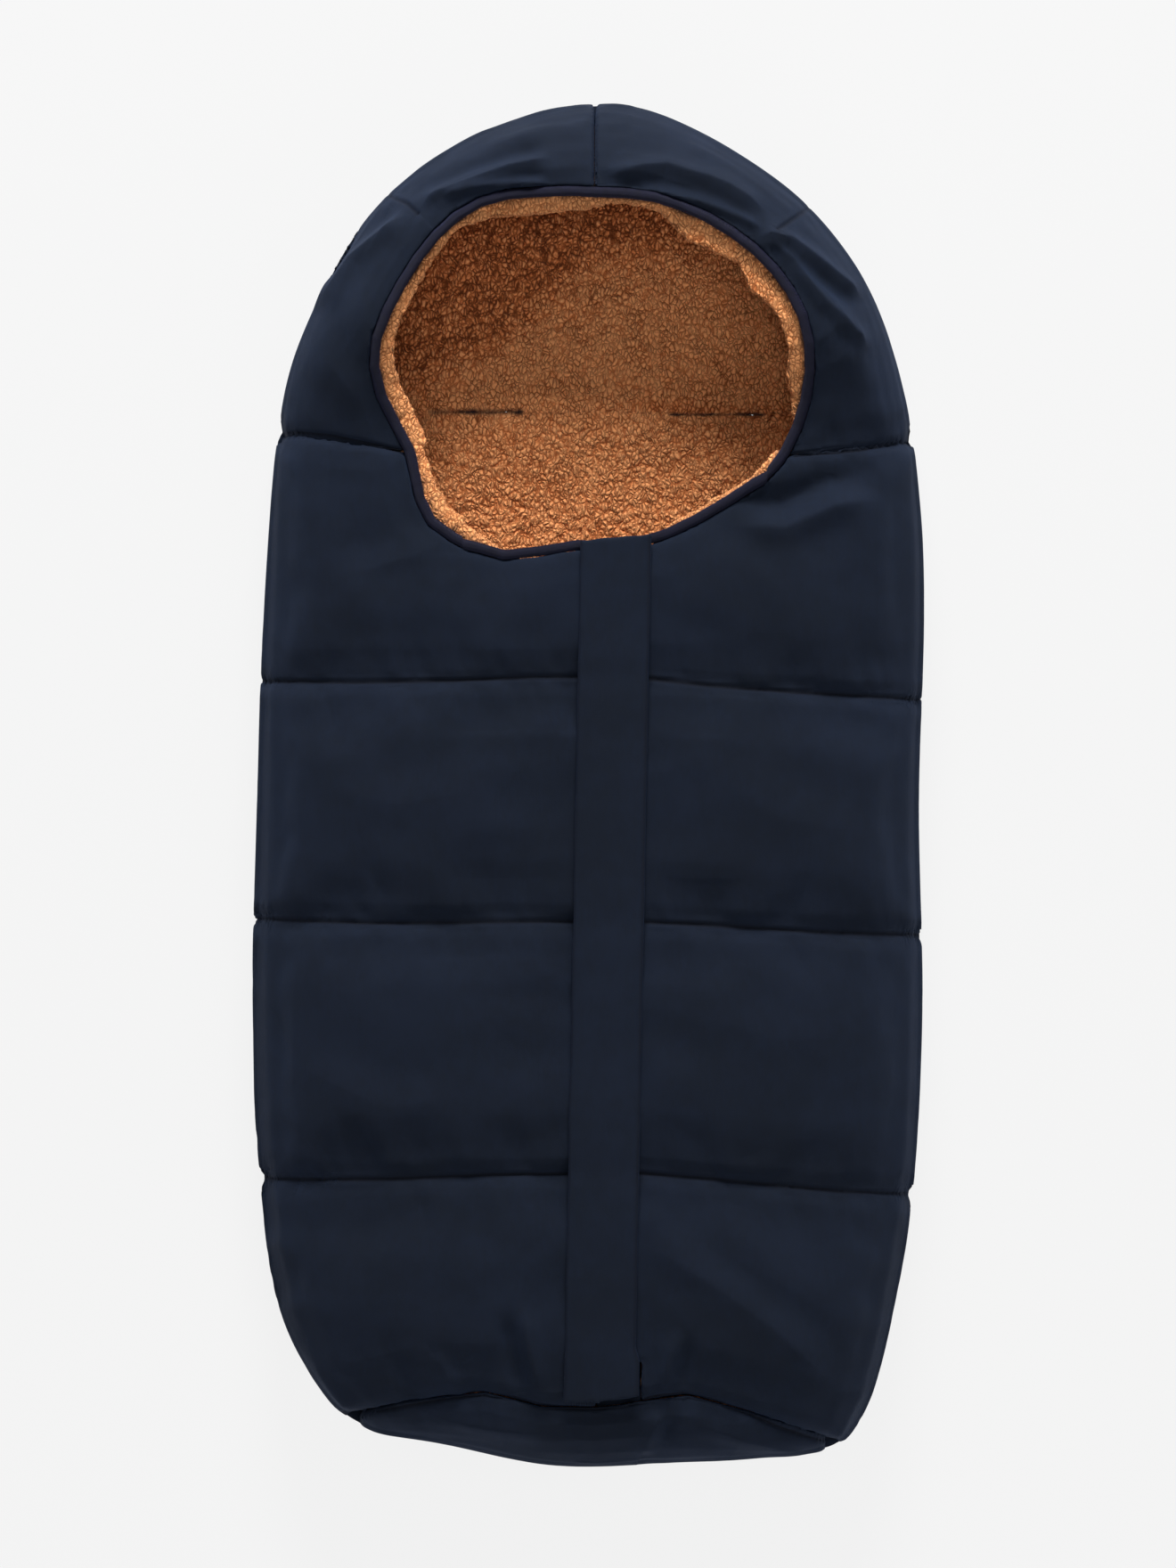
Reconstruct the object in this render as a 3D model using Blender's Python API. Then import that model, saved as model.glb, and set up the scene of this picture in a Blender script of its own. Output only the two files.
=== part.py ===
"""Hooded stroller footmuff lying on its back, built as padded panels, linings, bindings and a zip.

Metres, +Z up, +Y towards the hood, origin at the middle of the resting face. The front and the back are
two domes over one plan outline: a point of a panel is a plan point and a depth below the outer skin.
"""

import math

import bmesh
import bpy
import numpy as np
from mathutils import Matrix, Vector

MM = 0.001
GAP = 0.3 * MM
HALF_GAP = GAP / 2
LAYER_GAP = 0.6 * MM

# Overall sizes
HALF_WIDTH = 200 * MM
HALF_LENGTH = 405 * MM
SIDE_SEAM_HEIGHT = 36 * MM
FOOT_HEIGHT = 92 * MM
CHEST_HEIGHT = 88 * MM
HOOD_HEIGHT = 114 * MM
CROWN_HEIGHT = 104 * MM
FOOT_SEAM_INSET = 39 * MM
SHOULDER_INSET = 200 * MM
HOOD_TOP_INSET = 130 * MM
CROWN_INSET = 55 * MM
FOOT_SEAM_Y = FOOT_SEAM_INSET - HALF_LENGTH
SHOULDER_Y = HALF_LENGTH - SHOULDER_INSET
HOOD_TOP_Y = HALF_LENGTH - HOOD_TOP_INSET
CROWN_Y = HALF_LENGTH - CROWN_INSET

# Rounding of the domes towards the side seam
FOOT_ROLL = 62 * MM
BODY_ROLL = 118 * MM
HOOD_ROLL = 62 * MM
FOOT_ROLL_RUN = 126 * MM
BODY_ROLL_RUN = 115 * MM
BACK_ROLL = 42 * MM
ROLL_POWER = 2.3
DRAW_POWER = 2.2

# Layers
SHELL_THICKNESS = 12 * MM
LINING_THICKNESS = 8 * MM
BACK_SHELL_THICKNESS = 11 * MM
BACK_LINING_THICKNESS = 8 * MM
SEAM_DRAW = 6 * MM
SEAM_ROLL = 26 * MM
RIM_DRAW = 3.5 * MM
RIM_ROLL = 20 * MM
RIM_SHELL_THICKNESS = 8 * MM
RIM_LINING_THICKNESS = 5 * MM

# Face opening
OPENING_CENTRE_X = 1.5 * MM
OPENING_RISE = 38 * MM
OPENING_CENTRE_Y = SHOULDER_Y + OPENING_RISE
OPENING_HALF_WIDTH = 126 * MM
OPENING_HALF_HEIGHT = 104 * MM
BINDING_WIDTH = 6 * MM
BINDING_CROWN = 1.2 * MM
MITRE_REACH = 3 * BINDING_WIDTH
BINDING_SECTION_SHARES = ((0.0, 0.35), (0.0, 1.0), (1.0, 1.0), (1.0, 0.35), (0.72, 0.0), (0.28, 0.0))
ROLL_OUT = 9 * MM
ROLL_OUT_RIGHT = 3 * MM

# Placket, zip and fold lines, each straight in plan and leaning by the same slant
PLACKET_SLANT = 0.0195
PLACKET_FOOT_X = 27.5 * MM
FLAP_WIDTH = 42 * MM
FLAP_THICKNESS = 4 * MM
FLAP_LIFT = 0.9 * MM
FLAP_EDGE_ROUND = 1.4 * MM
ZIP_INSET = 13 * MM
ZIP_GROOVE_HALF = 7.2 * MM
LEFT_GROOVE_HALF = 9 * MM
BRIDGE_LENGTH = 26 * MM
LINING_FOOT_RUN = 2 * BRIDGE_LENGTH
BRIDGE_DEPTH = 9.6 * MM
BRIDGE_THICKNESS = 2.2 * MM
GUSSET_END = 4 * MM
GUSSET_CORNER = 30 * MM
LEFT_FOLD_FOOT = 10 * MM
RIGHT_FOLD_FOOT = 16 * MM
LEFT_FOLD_TOP_X = -74 * MM
LEFT_FOLD_DROP = 96 * MM
LEFT_FOLD_TOP_Y = OPENING_CENTRE_Y - LEFT_FOLD_DROP
RIGHT_FOLD_TOP_X = 105.8 * MM
RIGHT_FOLD_DROP = 54.1 * MM
RIGHT_FOLD_TOP_Y = OPENING_CENTRE_Y - RIGHT_FOLD_DROP
FOLD_AXIS_LIFT = 0.4 * MM

# Shoulder seam: its offsets from the shoulder line at the outline and at the opening's rim
SHOULDER_LEFT_OFFSET = 4 * MM
SHOULDER_LEFT_RIM_OFFSET = -9 * MM
SHOULDER_RIGHT_OFFSET = -2 * MM
SHOULDER_RIGHT_RIM_OFFSET = -11 * MM
SHOULDER_LEFT_Y = SHOULDER_Y + SHOULDER_LEFT_OFFSET
SHOULDER_LEFT_RIM_Y = SHOULDER_Y + SHOULDER_LEFT_RIM_OFFSET
SHOULDER_RIGHT_Y = SHOULDER_Y + SHOULDER_RIGHT_OFFSET
SHOULDER_RIGHT_RIM_Y = SHOULDER_Y + SHOULDER_RIGHT_RIM_OFFSET

# Quilt seams from the foot upwards, at left edge, placket and right edge, as shares of the half length
SEAM_LEFT_SHARES = (-0.578, -0.198, 0.151)
SEAM_PLACKET_SHARES = (-0.565, -0.198, 0.156)
SEAM_RIGHT_SHARES = (-0.602, -0.222, 0.123)

# Zip
TAPE_WIDTH = 12 * MM
TAPE_THICKNESS = 1 * MM
TAPE_INNER = 2.6 * MM
TAPE_EDGE_CLEARANCE = 0.5 * MM
TOOTH_PITCH = 4.4 * MM
TOOTH_WIDTH = 1.6 * MM
TOOTH_REACH = 0.7 * MM
SPINE_INNER = 1.2 * MM
SPINE_THICKNESS = 1.1 * MM
TOOTH_HEIGHT = 3.4 * MM
STOP_LENGTH = 3 * MM
STOP_INNER = 1.6 * MM
STOP_CLEARANCE = 0.9 * MM
SLIDER_LENGTH = 19 * MM
SLIDER_FRONT_HALF = 6.2 * MM
RECESS_END = 2 * GAP
SLIDER_REAR_HALF = 4.6 * MM
SLIDER_NOSE = 3 * MM
SLIDER_PLATE = 1.4 * MM
SLIDER_CLEARANCE = 0.4 * MM
SLIDER_POST_HALF = 1.3 * MM
SLIDER_POST_LENGTH = 7 * MM
SLIDER_FROM_RIM = 9 * MM
LUG_LENGTH = 6.4 * MM
LUG_WIDTH = 2.4 * MM
LUG_HEIGHT = 3.1 * MM
LUG_WALL = 0.9 * MM
LUG_FLOOR = 0.2 * MM
PULL_LENGTH = 24 * MM
PULL_TAPER_SHARE = 0.4
PULL_WIDTH = 7.4 * MM
PULL_TIP_WIDTH = 5 * MM
PULL_THICKNESS = 1.2 * MM
PULL_EYE_WIDTH = 3.4 * MM
PULL_EYE_LENGTH = 4.6 * MM
PULL_RISE = 1.2 * MM

# Harness slots
SLOT_ROW_X = 72 * MM
SLOT_MIDDLE_X = 5 * MM
HEAD_SEAM_RISE = 17 * MM
HEAD_SEAM_Y = SHOULDER_Y + HEAD_SEAM_RISE
CROTCH_SLOT_Y = -95 * MM
SLOT_LENGTH = 58 * MM
SLOT_WIDTH = 9.6 * MM
SLOT_BINDING = 1.8 * MM
SLOT_FIT = 2 * GAP
SLOT_EDGES = 2 * SLOT_BINDING
SLOT_BINDING_PROUD = 0.8 * MM
SLOT_BINDING_FLOOR = 0.6 * MM
SLOT_ARC_STEPS = 6

CUT_OVERRUN = 5 * MM

# Corners of the plan outline, clockwise from the hood's centre seam, as shares of the half width and length
OUTLINE_SHARES = (
    (0.03, 0.998), (0.32, 0.96), (0.63, 0.857), (0.83, 0.73), (0.937, 0.58), (0.988, 0.41),
    (1.0, 0.24), (0.985, -0.03), (0.995, -0.33), (0.967, -0.60), (0.908, -0.775), (0.845, -0.895),
    (0.765, -0.962), (0.62, -0.984), (0.25, -0.996), (-0.1, -1.0), (-0.45, -0.966), (-0.665, -0.944),
    (-0.80, -0.885), (-0.93, -0.75), (-0.985, -0.53), (-1.0, -0.33), (-0.985, -0.02), (-0.962, 0.28),
    (-0.915, 0.54), (-0.82, 0.69), (-0.645, 0.838), (-0.33, 0.953),
)

# Inner edge of the face opening's binding, clockwise from its top, as shares of the opening's half sizes
OPENING_SHARES = (
    (0.03, 0.972), (0.30, 0.943), (0.57, 0.81), (0.80, 0.60), (0.95, 0.34), (1.0, 0.06),
    (0.96, -0.25), (0.84, -0.52), (0.62, -0.715), (0.36, -0.885), (0.12, -0.965), (-0.12, -0.955),
    (-0.36, -1.015), (-0.58, -0.945), (-0.75, -0.79), (-0.83, -0.42), (-0.95, -0.15), (-0.985, 0.12),
    (-0.88, 0.43), (-0.69, 0.76), (-0.48, 0.935), (-0.20, 0.975),
)

# Foot seam from left to right: plan points as shares of the half width and the half length
FOOT_SEAM_SHARES = (
    (-0.76, -0.955), (-0.665, -0.926), (-0.54, -0.905), (-0.40, -0.893), (-0.28, -0.887), (-0.16, -0.907),
    (0.03, -0.908), (0.18, -0.897), (0.28, -0.889), (0.40, -0.905), (0.54, -0.928), (0.66, -0.952),
    (0.76, -0.985),
)

# Corners of the back's grid on the outline, as shares of the half width and the half length
FOOT_LEFT_SHARE = (-0.74, -0.917)
FOOT_RIGHT_SHARE = (0.80, -0.94)
HEAD_LEFT_SHARE = (-0.645, 0.838)
HEAD_RIGHT_SHARE = (0.63, 0.857)

# Walls that face each other are split along the same diagonal, chosen by this lean of x against y
WALL_DIAGONAL_SHARE = 0.37

# Rounds in which a row of plan points settles between its edges and its seams
SETTLING_STEPS = 40
CORNER_STEPS = 20
FLAP_STEPS = 6
SEARCH_STEPS = 400
SHARP_ANGLE_DEG = 50

# How evenly the columns of a panel lie, against bunching up at the side seam
EVEN_SHARE = 0.25

CURVE_STEPS = 10
CHANNEL_ROWS = 7
SIDE_COLUMNS = 8
LAPEL_COLUMNS = 5
HOOD_ROWS = 15
BACK_COLUMNS = 11
BACK_BODY_ROWS = 17
BACK_HOOD_ROWS = 8
GUSSET_ROWS = 6
FLAP_ROWS = 15
BRIDGE_COLUMNS = 3
TAPE_ROWS = 8

NAVY = (0.012, 0.018, 0.034)
TEDDY = (0.40, 0.145, 0.042)
SHADED_LINING = (0.22, 0.075, 0.025)
BINDING_NAVY = (0.014, 0.019, 0.033)
ZIP_BLACK = (0.01, 0.01, 0.012)
PULL_METAL = (0.05, 0.05, 0.055)
FABRIC_ROUGHNESS = 0.8
METAL_ROUGHNESS = 0.35


def clear_scene() -> None:
    for thing in list(bpy.data.objects):
        bpy.data.objects.remove(thing, do_unlink=True)


def material(name: str, colour: tuple, metallic: float = 0.0) -> bpy.types.Material:
    made = bpy.data.materials.new(name)
    made.use_nodes = True
    shader = made.node_tree.nodes["Principled BSDF"]
    shader.inputs["Base Color"].default_value = (*colour, 1)
    shader.inputs["Roughness"].default_value = METAL_ROUGHNESS if metallic else FABRIC_ROUGHNESS
    shader.inputs["Metallic"].default_value = metallic
    return made


def blend(start, end, share):
    """Smooth passage from one value to another as the share runs from 0 to 1."""
    share = np.clip(share, 0, 1)
    return start + (end - start) * share * share * (3 - 2 * share)


# Plan curves


def rounded_curve(points, closed: bool) -> np.ndarray:
    """A Catmull-Rom curve through plan points."""
    points = np.array(points, float)
    if closed:
        padded = np.vstack([points[-1], points, points[0], points[1]])
    else:
        padded = np.vstack([2 * points[0] - points[1], points, 2 * points[-1] - points[-2]])
    made = []
    for before, start, end, after in zip(padded, padded[1:], padded[2:], padded[3:]):
        for t in np.arange(CURVE_STEPS) / CURVE_STEPS:
            straight = start + (end - start) * t
            square = 2 * before - 5 * start + 4 * end - after
            cube = 3 * start - before - 3 * end + after
            bend = square * t**2 + cube * t**3
            made.append(start + ((end - before) * t + bend) / 2 if t else straight)
    if not closed:
        made.append(points[-1])
    return np.array(made)


class PlanCurve:
    """A smooth plan curve with its inward normals, for distances, runs and crossings."""

    def __init__(self, points, closed: bool = True):
        self.closed = closed
        self.points = rounded_curve(points, closed)
        ahead = np.roll(self.points, -1, 0) - np.roll(self.points, 1, 0)
        if not closed:
            ahead[0] = self.points[1] - self.points[0]
            ahead[-1] = self.points[-1] - self.points[-2]
        ahead /= np.linalg.norm(ahead, axis=1)[:, None]
        self.normals = np.stack([ahead[:, 1], -ahead[:, 0]], 1)

    def nearest(self, plan: np.ndarray):
        """Distance to the curve, and its normal at the nearest place, for plan points."""
        flat = plan.reshape(-1, 2)
        starts = self.points if self.closed else self.points[:-1]
        ends = np.roll(self.points, -1, 0) if self.closed else self.points[1:]
        after = np.roll(self.normals, -1, 0) if self.closed else self.normals[1:]
        along = ends - starts
        share = ((flat[:, None] - starts) * along).sum(2) / (along**2).sum(1)
        share = np.clip(share, 0, 1)
        far = np.linalg.norm(flat[:, None] - starts - along * share[..., None], axis=2)
        best = far.argmin(1)
        rows = np.arange(len(flat))
        share = share[rows, best][:, None]
        normal = self.normals[: len(starts)][best] * (1 - share) + after[best] * share
        normal /= np.linalg.norm(normal, axis=1)[:, None]
        return far[rows, best].reshape(plan.shape[:-1]), normal.reshape(plan.shape)

    def run(self, start, end, shares) -> np.ndarray:
        """Points along the curve, in its own direction, from near one place to near another."""
        first = np.linalg.norm(self.points - start, axis=1).argmin()
        last = np.linalg.norm(self.points - end, axis=1).argmin()
        if last <= first:
            last += len(self.points)
        chosen = self.points[np.arange(first, last + 1) % len(self.points)].copy()
        chosen[0] = start
        chosen[-1] = end
        return along_points(chosen, shares)

    def shifted(self, distance: float) -> np.ndarray:
        return self.points + self.normals * distance


def along_points(points: np.ndarray, shares) -> np.ndarray:
    """Places at shares of a polyline's length."""
    steps = np.linalg.norm(np.diff(points, axis=0), axis=1)
    reach = np.concatenate([[0], np.cumsum(steps)])
    wanted = np.asarray(shares) * reach[-1]
    return np.stack([np.interp(wanted, reach, points[:, axis]) for axis in range(2)], -1)


def shares_of(pairs, width: float, height: float, centre_x: float = 0, centre_y: float = 0) -> list:
    return [(centre_x + across * width, centre_y + along * height) for across, along in pairs]


OUTLINE = PlanCurve(shares_of(OUTLINE_SHARES, HALF_WIDTH, HALF_LENGTH))
OPENING = PlanCurve(
    shares_of(OPENING_SHARES, OPENING_HALF_WIDTH, OPENING_HALF_HEIGHT, OPENING_CENTRE_X, OPENING_CENTRE_Y)
)
FOOT_SEAM = PlanCurve(shares_of(FOOT_SEAM_SHARES, HALF_WIDTH, HALF_LENGTH), closed=False)
SHELL_RIM = PlanCurve(OPENING.shifted(-BINDING_WIDTH - GAP)[::CURVE_STEPS])


def crossing(points: np.ndarray, y, left: bool):
    """The x where the left or right side of a closed curve passes a y."""
    y = np.asarray(y, float)
    ends = np.roll(points, -1, 0)
    low = np.minimum(points[:, 1], ends[:, 1])
    high = np.maximum(points[:, 1], ends[:, 1])
    rise = np.where(ends[:, 1] == points[:, 1], 1, ends[:, 1] - points[:, 1])
    share = (y[..., None] - points[:, 1]) / rise
    x = points[:, 0] + (ends[:, 0] - points[:, 0]) * share
    inside = (y[..., None] >= low) & (y[..., None] <= high)
    if left:
        return np.where(inside, x, np.inf).min(-1)
    return np.where(inside, x, -np.inf).max(-1)


def foot_seam_y(x):
    return np.interp(x, FOOT_SEAM.points[:, 0], FOOT_SEAM.points[:, 1])


def lower_rim_y(x):
    """The lower edge of the face opening, under the shell's edge, as y over x."""
    lowest = SHELL_RIM.points[SHELL_RIM.points[:, 1] < OPENING_CENTRE_Y]
    order = lowest[:, 0].argsort()
    return np.interp(x, lowest[order, 0], lowest[order, 1])


def placket_x(y, offset=0):
    """A line of the placket: its x at a y, with an offset from the sewn edge."""
    return PLACKET_FOOT_X + offset + (np.asarray(y) - FOOT_SEAM_Y) * PLACKET_SLANT


BRIDGE_TOP_Y = FOOT_SEAM_Y + BRIDGE_LENGTH
LEFT_FOLD_FOOT_X = float(placket_x(BRIDGE_TOP_Y, -ZIP_INSET)) - LEFT_FOLD_FOOT
RIGHT_FOLD_FOOT_X = float(placket_x(BRIDGE_TOP_Y, -ZIP_INSET)) + RIGHT_FOLD_FOOT


def left_fold_x(y):
    share = (np.asarray(y) - BRIDGE_TOP_Y) / (LEFT_FOLD_TOP_Y - BRIDGE_TOP_Y)
    return LEFT_FOLD_FOOT_X + (LEFT_FOLD_TOP_X - LEFT_FOLD_FOOT_X) * np.maximum(share, 0)


def right_fold_x(y):
    share = (np.asarray(y) - BRIDGE_TOP_Y) / (RIGHT_FOLD_TOP_Y - BRIDGE_TOP_Y)
    return RIGHT_FOLD_FOOT_X + (RIGHT_FOLD_TOP_X - RIGHT_FOLD_FOOT_X) * np.maximum(share, 0)


def quilt_seam_y(index: int, x):
    """A quilt seam from the foot upwards, flat to the placket and sloping to its ends."""
    ends = [-HALF_WIDTH, PLACKET_FOOT_X, HALF_WIDTH]
    shares = [SEAM_LEFT_SHARES[index], SEAM_PLACKET_SHARES[index], SEAM_RIGHT_SHARES[index]]
    return HALF_LENGTH * np.interp(x, ends, shares)


def shoulder_y(x):
    """The seam that joins the hood to the sides of the body."""
    left_rim_x = crossing(SHELL_RIM.points, np.float64(SHOULDER_LEFT_RIM_Y), True)
    right_rim_x = crossing(SHELL_RIM.points, np.float64(SHOULDER_RIGHT_RIM_Y), False)
    ends = [-HALF_WIDTH, left_rim_x, right_rim_x, HALF_WIDTH]
    return np.interp(x, ends, [SHOULDER_LEFT_Y, SHOULDER_LEFT_RIM_Y, SHOULDER_RIGHT_RIM_Y, SHOULDER_RIGHT_Y])


# Domes


def height_at(y):
    """Height of the front over the rest plane: straight along the body, rising into the hood."""
    body = FOOT_HEIGHT + (CHEST_HEIGHT - FOOT_HEIGHT) * (y - FOOT_SEAM_Y) / (SHOULDER_Y - FOOT_SEAM_Y)
    rise = blend(0, 1, (y - SHOULDER_Y) / (HOOD_TOP_Y - SHOULDER_Y))
    fall = blend(0, HOOD_HEIGHT - CROWN_HEIGHT, (y - CROWN_Y) / (HALF_LENGTH - CROWN_Y))
    return body + (HOOD_HEIGHT - body) * rise - fall


def roll_at(y):
    """Width over which the front rounds down to the side seam."""
    foot = blend(FOOT_ROLL, BODY_ROLL, (y - FOOT_SEAM_Y) / FOOT_ROLL_RUN)
    return foot + blend(0, HOOD_ROLL - BODY_ROLL, 1 + (y - SHOULDER_Y) / BODY_ROLL_RUN)


def dome(plan: np.ndarray, depth) -> np.ndarray:
    """Points of the front, at a depth below its skin."""
    distance, inward = OUTLINE.nearest(plan)
    across = np.clip(1 - distance / roll_at(plan[..., 1]), 0, 1)
    up = (1 - across**ROLL_POWER) ** (1 / ROLL_POWER)
    depth = np.broadcast_to(depth, distance.shape)
    moved = plan + inward * (depth * across**3)[..., None]
    z = SIDE_SEAM_HEIGHT + HALF_GAP + (height_at(plan[..., 1]) - SIDE_SEAM_HEIGHT - depth) * up
    return np.concatenate([moved, z[..., None]], -1)


def cradle(plan: np.ndarray, depth) -> np.ndarray:
    """Points of the back, at a depth above its underside."""
    distance, inward = OUTLINE.nearest(plan)
    across = np.clip(1 - distance / BACK_ROLL, 0, 1)
    down = (1 - across**ROLL_POWER) ** (1 / ROLL_POWER)
    depth = np.broadcast_to(depth, distance.shape)
    moved = plan + inward * (depth * across**3)[..., None]
    z = (SIDE_SEAM_HEIGHT - HALF_GAP) * (1 - down) + depth * down
    return np.concatenate([moved, z[..., None]], -1)


def drawn_in(distance, draw: float, roll: float):
    """How far the skin sinks towards a seam."""
    return draw * np.clip(1 - distance / roll, 0, 1) ** DRAW_POWER


def skin_depth(plan: np.ndarray) -> np.ndarray:
    """Depth of the quilted skin below the dome: drawn in at every seam and at the opening."""
    x, y = plan[..., 0], plan[..., 1]
    lines = [quilt_seam_y(index, x) for index in range(len(SEAM_PLACKET_SHARES))]
    gaps = [np.abs(y - line) for line in [*lines, shoulder_y(x), foot_seam_y(x)]]
    over_zip = (x > left_fold_x(y)) & (x < right_fold_x(y)) & (y > SHOULDER_LEFT_RIM_Y)
    gaps[3] = np.where(over_zip, SEAM_ROLL, gaps[3])
    depth = drawn_in(np.min(gaps, axis=0), SEAM_DRAW, SEAM_ROLL)
    centre = np.where(y > OPENING_CENTRE_Y, np.abs(x - OUTLINE.points[0, 0]), SEAM_ROLL)
    depth = np.maximum(depth, drawn_in(centre, RIM_DRAW, RIM_ROLL))
    rim, _ = SHELL_RIM.nearest(plan)
    return np.maximum(depth, drawn_in(rim, RIM_DRAW, RIM_ROLL))


def near_rim(plan: np.ndarray) -> np.ndarray:
    """1 at the face opening, falling to 0 a roll away from it."""
    rim, _ = SHELL_RIM.nearest(plan)
    return blend(0, 1, 1 - rim / RIM_ROLL)


def shell_floor(plan: np.ndarray) -> np.ndarray:
    return SHELL_THICKNESS + (RIM_SHELL_THICKNESS - SHELL_THICKNESS) * near_rim(plan)


def lining_floor(plan: np.ndarray) -> np.ndarray:
    thin = RIM_LINING_THICKNESS - LINING_THICKNESS
    return shell_floor(plan) + LAYER_GAP + LINING_THICKNESS + thin * near_rim(plan)


# Solids


def build(name: str, vertices, faces, finish: bpy.types.Material, smooth: bool = True) -> bpy.types.Object:
    mesh = bpy.data.meshes.new(name)
    mesh.from_pydata([tuple(point) for point in vertices], [], [tuple(face) for face in faces])
    work = bmesh.new()
    work.from_mesh(mesh)
    bmesh.ops.recalc_face_normals(work, faces=work.faces)
    work.to_mesh(mesh)
    work.free()
    made = bpy.data.objects.new(name, mesh)
    bpy.context.scene.collection.objects.link(made)
    mesh.materials.append(finish)
    if smooth:
        mesh.shade_smooth()
        mesh.set_sharp_from_angle(angle=math.radians(SHARP_ANGLE_DEG))
    return made


def slab(name: str, top: np.ndarray, bottom: np.ndarray, finish) -> bpy.types.Object:
    """A closed panel between two matching grids of points."""
    rows, columns = top.shape[:2]
    count = rows * columns
    vertices = np.concatenate([top.reshape(-1, 3), bottom.reshape(-1, 3)])
    index = np.arange(count).reshape(rows, columns)
    faces = []
    for row in range(rows - 1):
        for column in range(columns - 1):
            near, right = index[row, column], index[row, column + 1]
            above, across = index[row + 1, column], index[row + 1, column + 1]
            for corners in ((near, right, across), (near, across, above)):
                faces.append(corners)
                faces.append([corner + count for corner in reversed(corners)])
    edge = [*index[0], *index[1:, -1], *index[-1, -2::-1], *index[-2:0:-1, 0]]
    lean = vertices[:, 0] + vertices[:, 1] * WALL_DIAGONAL_SHARE
    for start, end in zip(edge, edge[1:] + edge[:1]):
        if lean[start] < lean[end]:
            faces += [[end, start, end + count], [start, start + count, end + count]]
        else:
            faces += [[end, start, start + count], [end, start + count, end + count]]
    return build(name, vertices, faces, finish)


def lining_slab(name: str, plan: np.ndarray, finish) -> None:
    """A lining under the shell over a grid of plan points."""
    slab(name, dome(plan, shell_floor(plan) + LAYER_GAP), dome(plan, lining_floor(plan)), finish)


def front_panel(name: str, plan: np.ndarray, finish, lining_finish=None, lining_plan=None) -> None:
    """A quilted front panel and, under it, its lining."""
    slab(name, dome(plan, skin_depth(plan)), dome(plan, shell_floor(plan)), finish)
    if lining_finish is not None:
        plan = plan if lining_plan is None else lining_plan
        lining_slab(name + "_lining", plan, lining_finish)


def swept(name: str, section: np.ndarray, finish) -> bpy.types.Object:
    """A closed bar: one ring of section points at each step of the path, with flat ends."""
    steps, sides = section.shape[:2]
    faces = [list(range(sides)), list(range((steps - 1) * sides, steps * sides))]
    for step in range(steps - 1):
        for side in range(sides):
            after = (side + 1) % sides
            low, high = step * sides, (step + 1) * sides
            faces.append([low + side, low + after, high + after, high + side])
    return build(name, section.reshape(-1, 3), faces, finish)


# Grids of plan points


def eased(count: int) -> np.ndarray:
    """Shares that lie close together at 0, where the dome turns down to the side seam."""
    even = np.linspace(0, 1, count)
    return even * EVEN_SHARE + (1 - np.cos(even * math.pi / 2)) * (1 - EVEN_SHARE)


def channel_shares(steps: int) -> np.ndarray:
    """Shares across one quilt channel, close together at its two seams."""
    return (1 - np.cos(np.linspace(0, math.pi, steps))) / 2


def banded_rows(seams, left_edge, right_edge, across, steps: int) -> np.ndarray:
    """Rows of plan points between two edges, in bands between seams that run across."""
    rows = []
    for band, (lower, upper) in enumerate(zip(seams, seams[1:])):
        for share in channel_shares(steps)[1 if band else 0 :]:
            y = np.full(len(across), float(lower(0) + (upper(0) - lower(0)) * share))
            for _ in range(SETTLING_STEPS):
                x = left_edge(y) + (right_edge(y) - left_edge(y)) * across
                y = (y + lower(x) + (upper(x) - lower(x)) * share) / 2
            rows.append(np.stack([x, y], -1))
    return np.array(rows)


def seam_line(index: int):
    """A quilt seam as a curve over x."""

    def seam(x):
        return quilt_seam_y(index, x)

    return seam


def level_line(y: float):
    """A straight line across the muff as a curve over x."""

    def line(x):
        return np.full_like(np.asarray(x, float), y)

    return line


def over_foot_seam(x):
    return foot_seam_y(x) + HALF_GAP


def under_shoulder(x):
    return shoulder_y(x) - HALF_GAP


QUILT_LINES = [seam_line(index) for index in range(len(SEAM_PLACKET_SHARES))]


def body_edge(left: bool):
    """The muff's outer edge on one side as a curve over y."""

    def edge(y):
        return crossing(OUTLINE.points, y, left)

    return edge


def fold_rim_y(left: bool, fold) -> float:
    """Where a fold line runs out at the opening."""
    ys = np.linspace(SHELL_RIM.points[:, 1].min() + GAP, SHOULDER_Y, SEARCH_STEPS)
    rim_x = crossing(SHELL_RIM.points, ys, left)
    sign = -1 if left else 1
    return float(ys[sign * rim_x > sign * fold(ys)].min())


def side_inner_edge(left: bool, fold):
    """The inner edge of a side panel: the fold line, then the opening above the fold's top."""
    top_y = fold_rim_y(left, fold)
    sign = -1 if left else 1

    def edge(y):
        rim_x = crossing(SHELL_RIM.points, np.clip(y, top_y, None), left)
        return np.where(y < top_y, fold(y) + sign * HALF_GAP, rim_x)

    return edge


def make_side(name: str, left: bool, fold, finish, lining_finish) -> tuple:
    """A side panel of the front. Returns its edge at the opening and its edge at the foot seam."""
    outer = body_edge(left)
    inner = side_inner_edge(left, fold)
    top_y = fold_rim_y(left, fold)
    seams = [over_foot_seam, *QUILT_LINES, level_line(top_y), under_shoulder]
    plan = banded_rows(seams, outer, inner, eased(SIDE_COLUMNS), CHANNEL_ROWS)
    front_panel(name, plan, finish, lining_finish)
    return plan[-CHANNEL_ROWS:, -1], plan[0]


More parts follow.
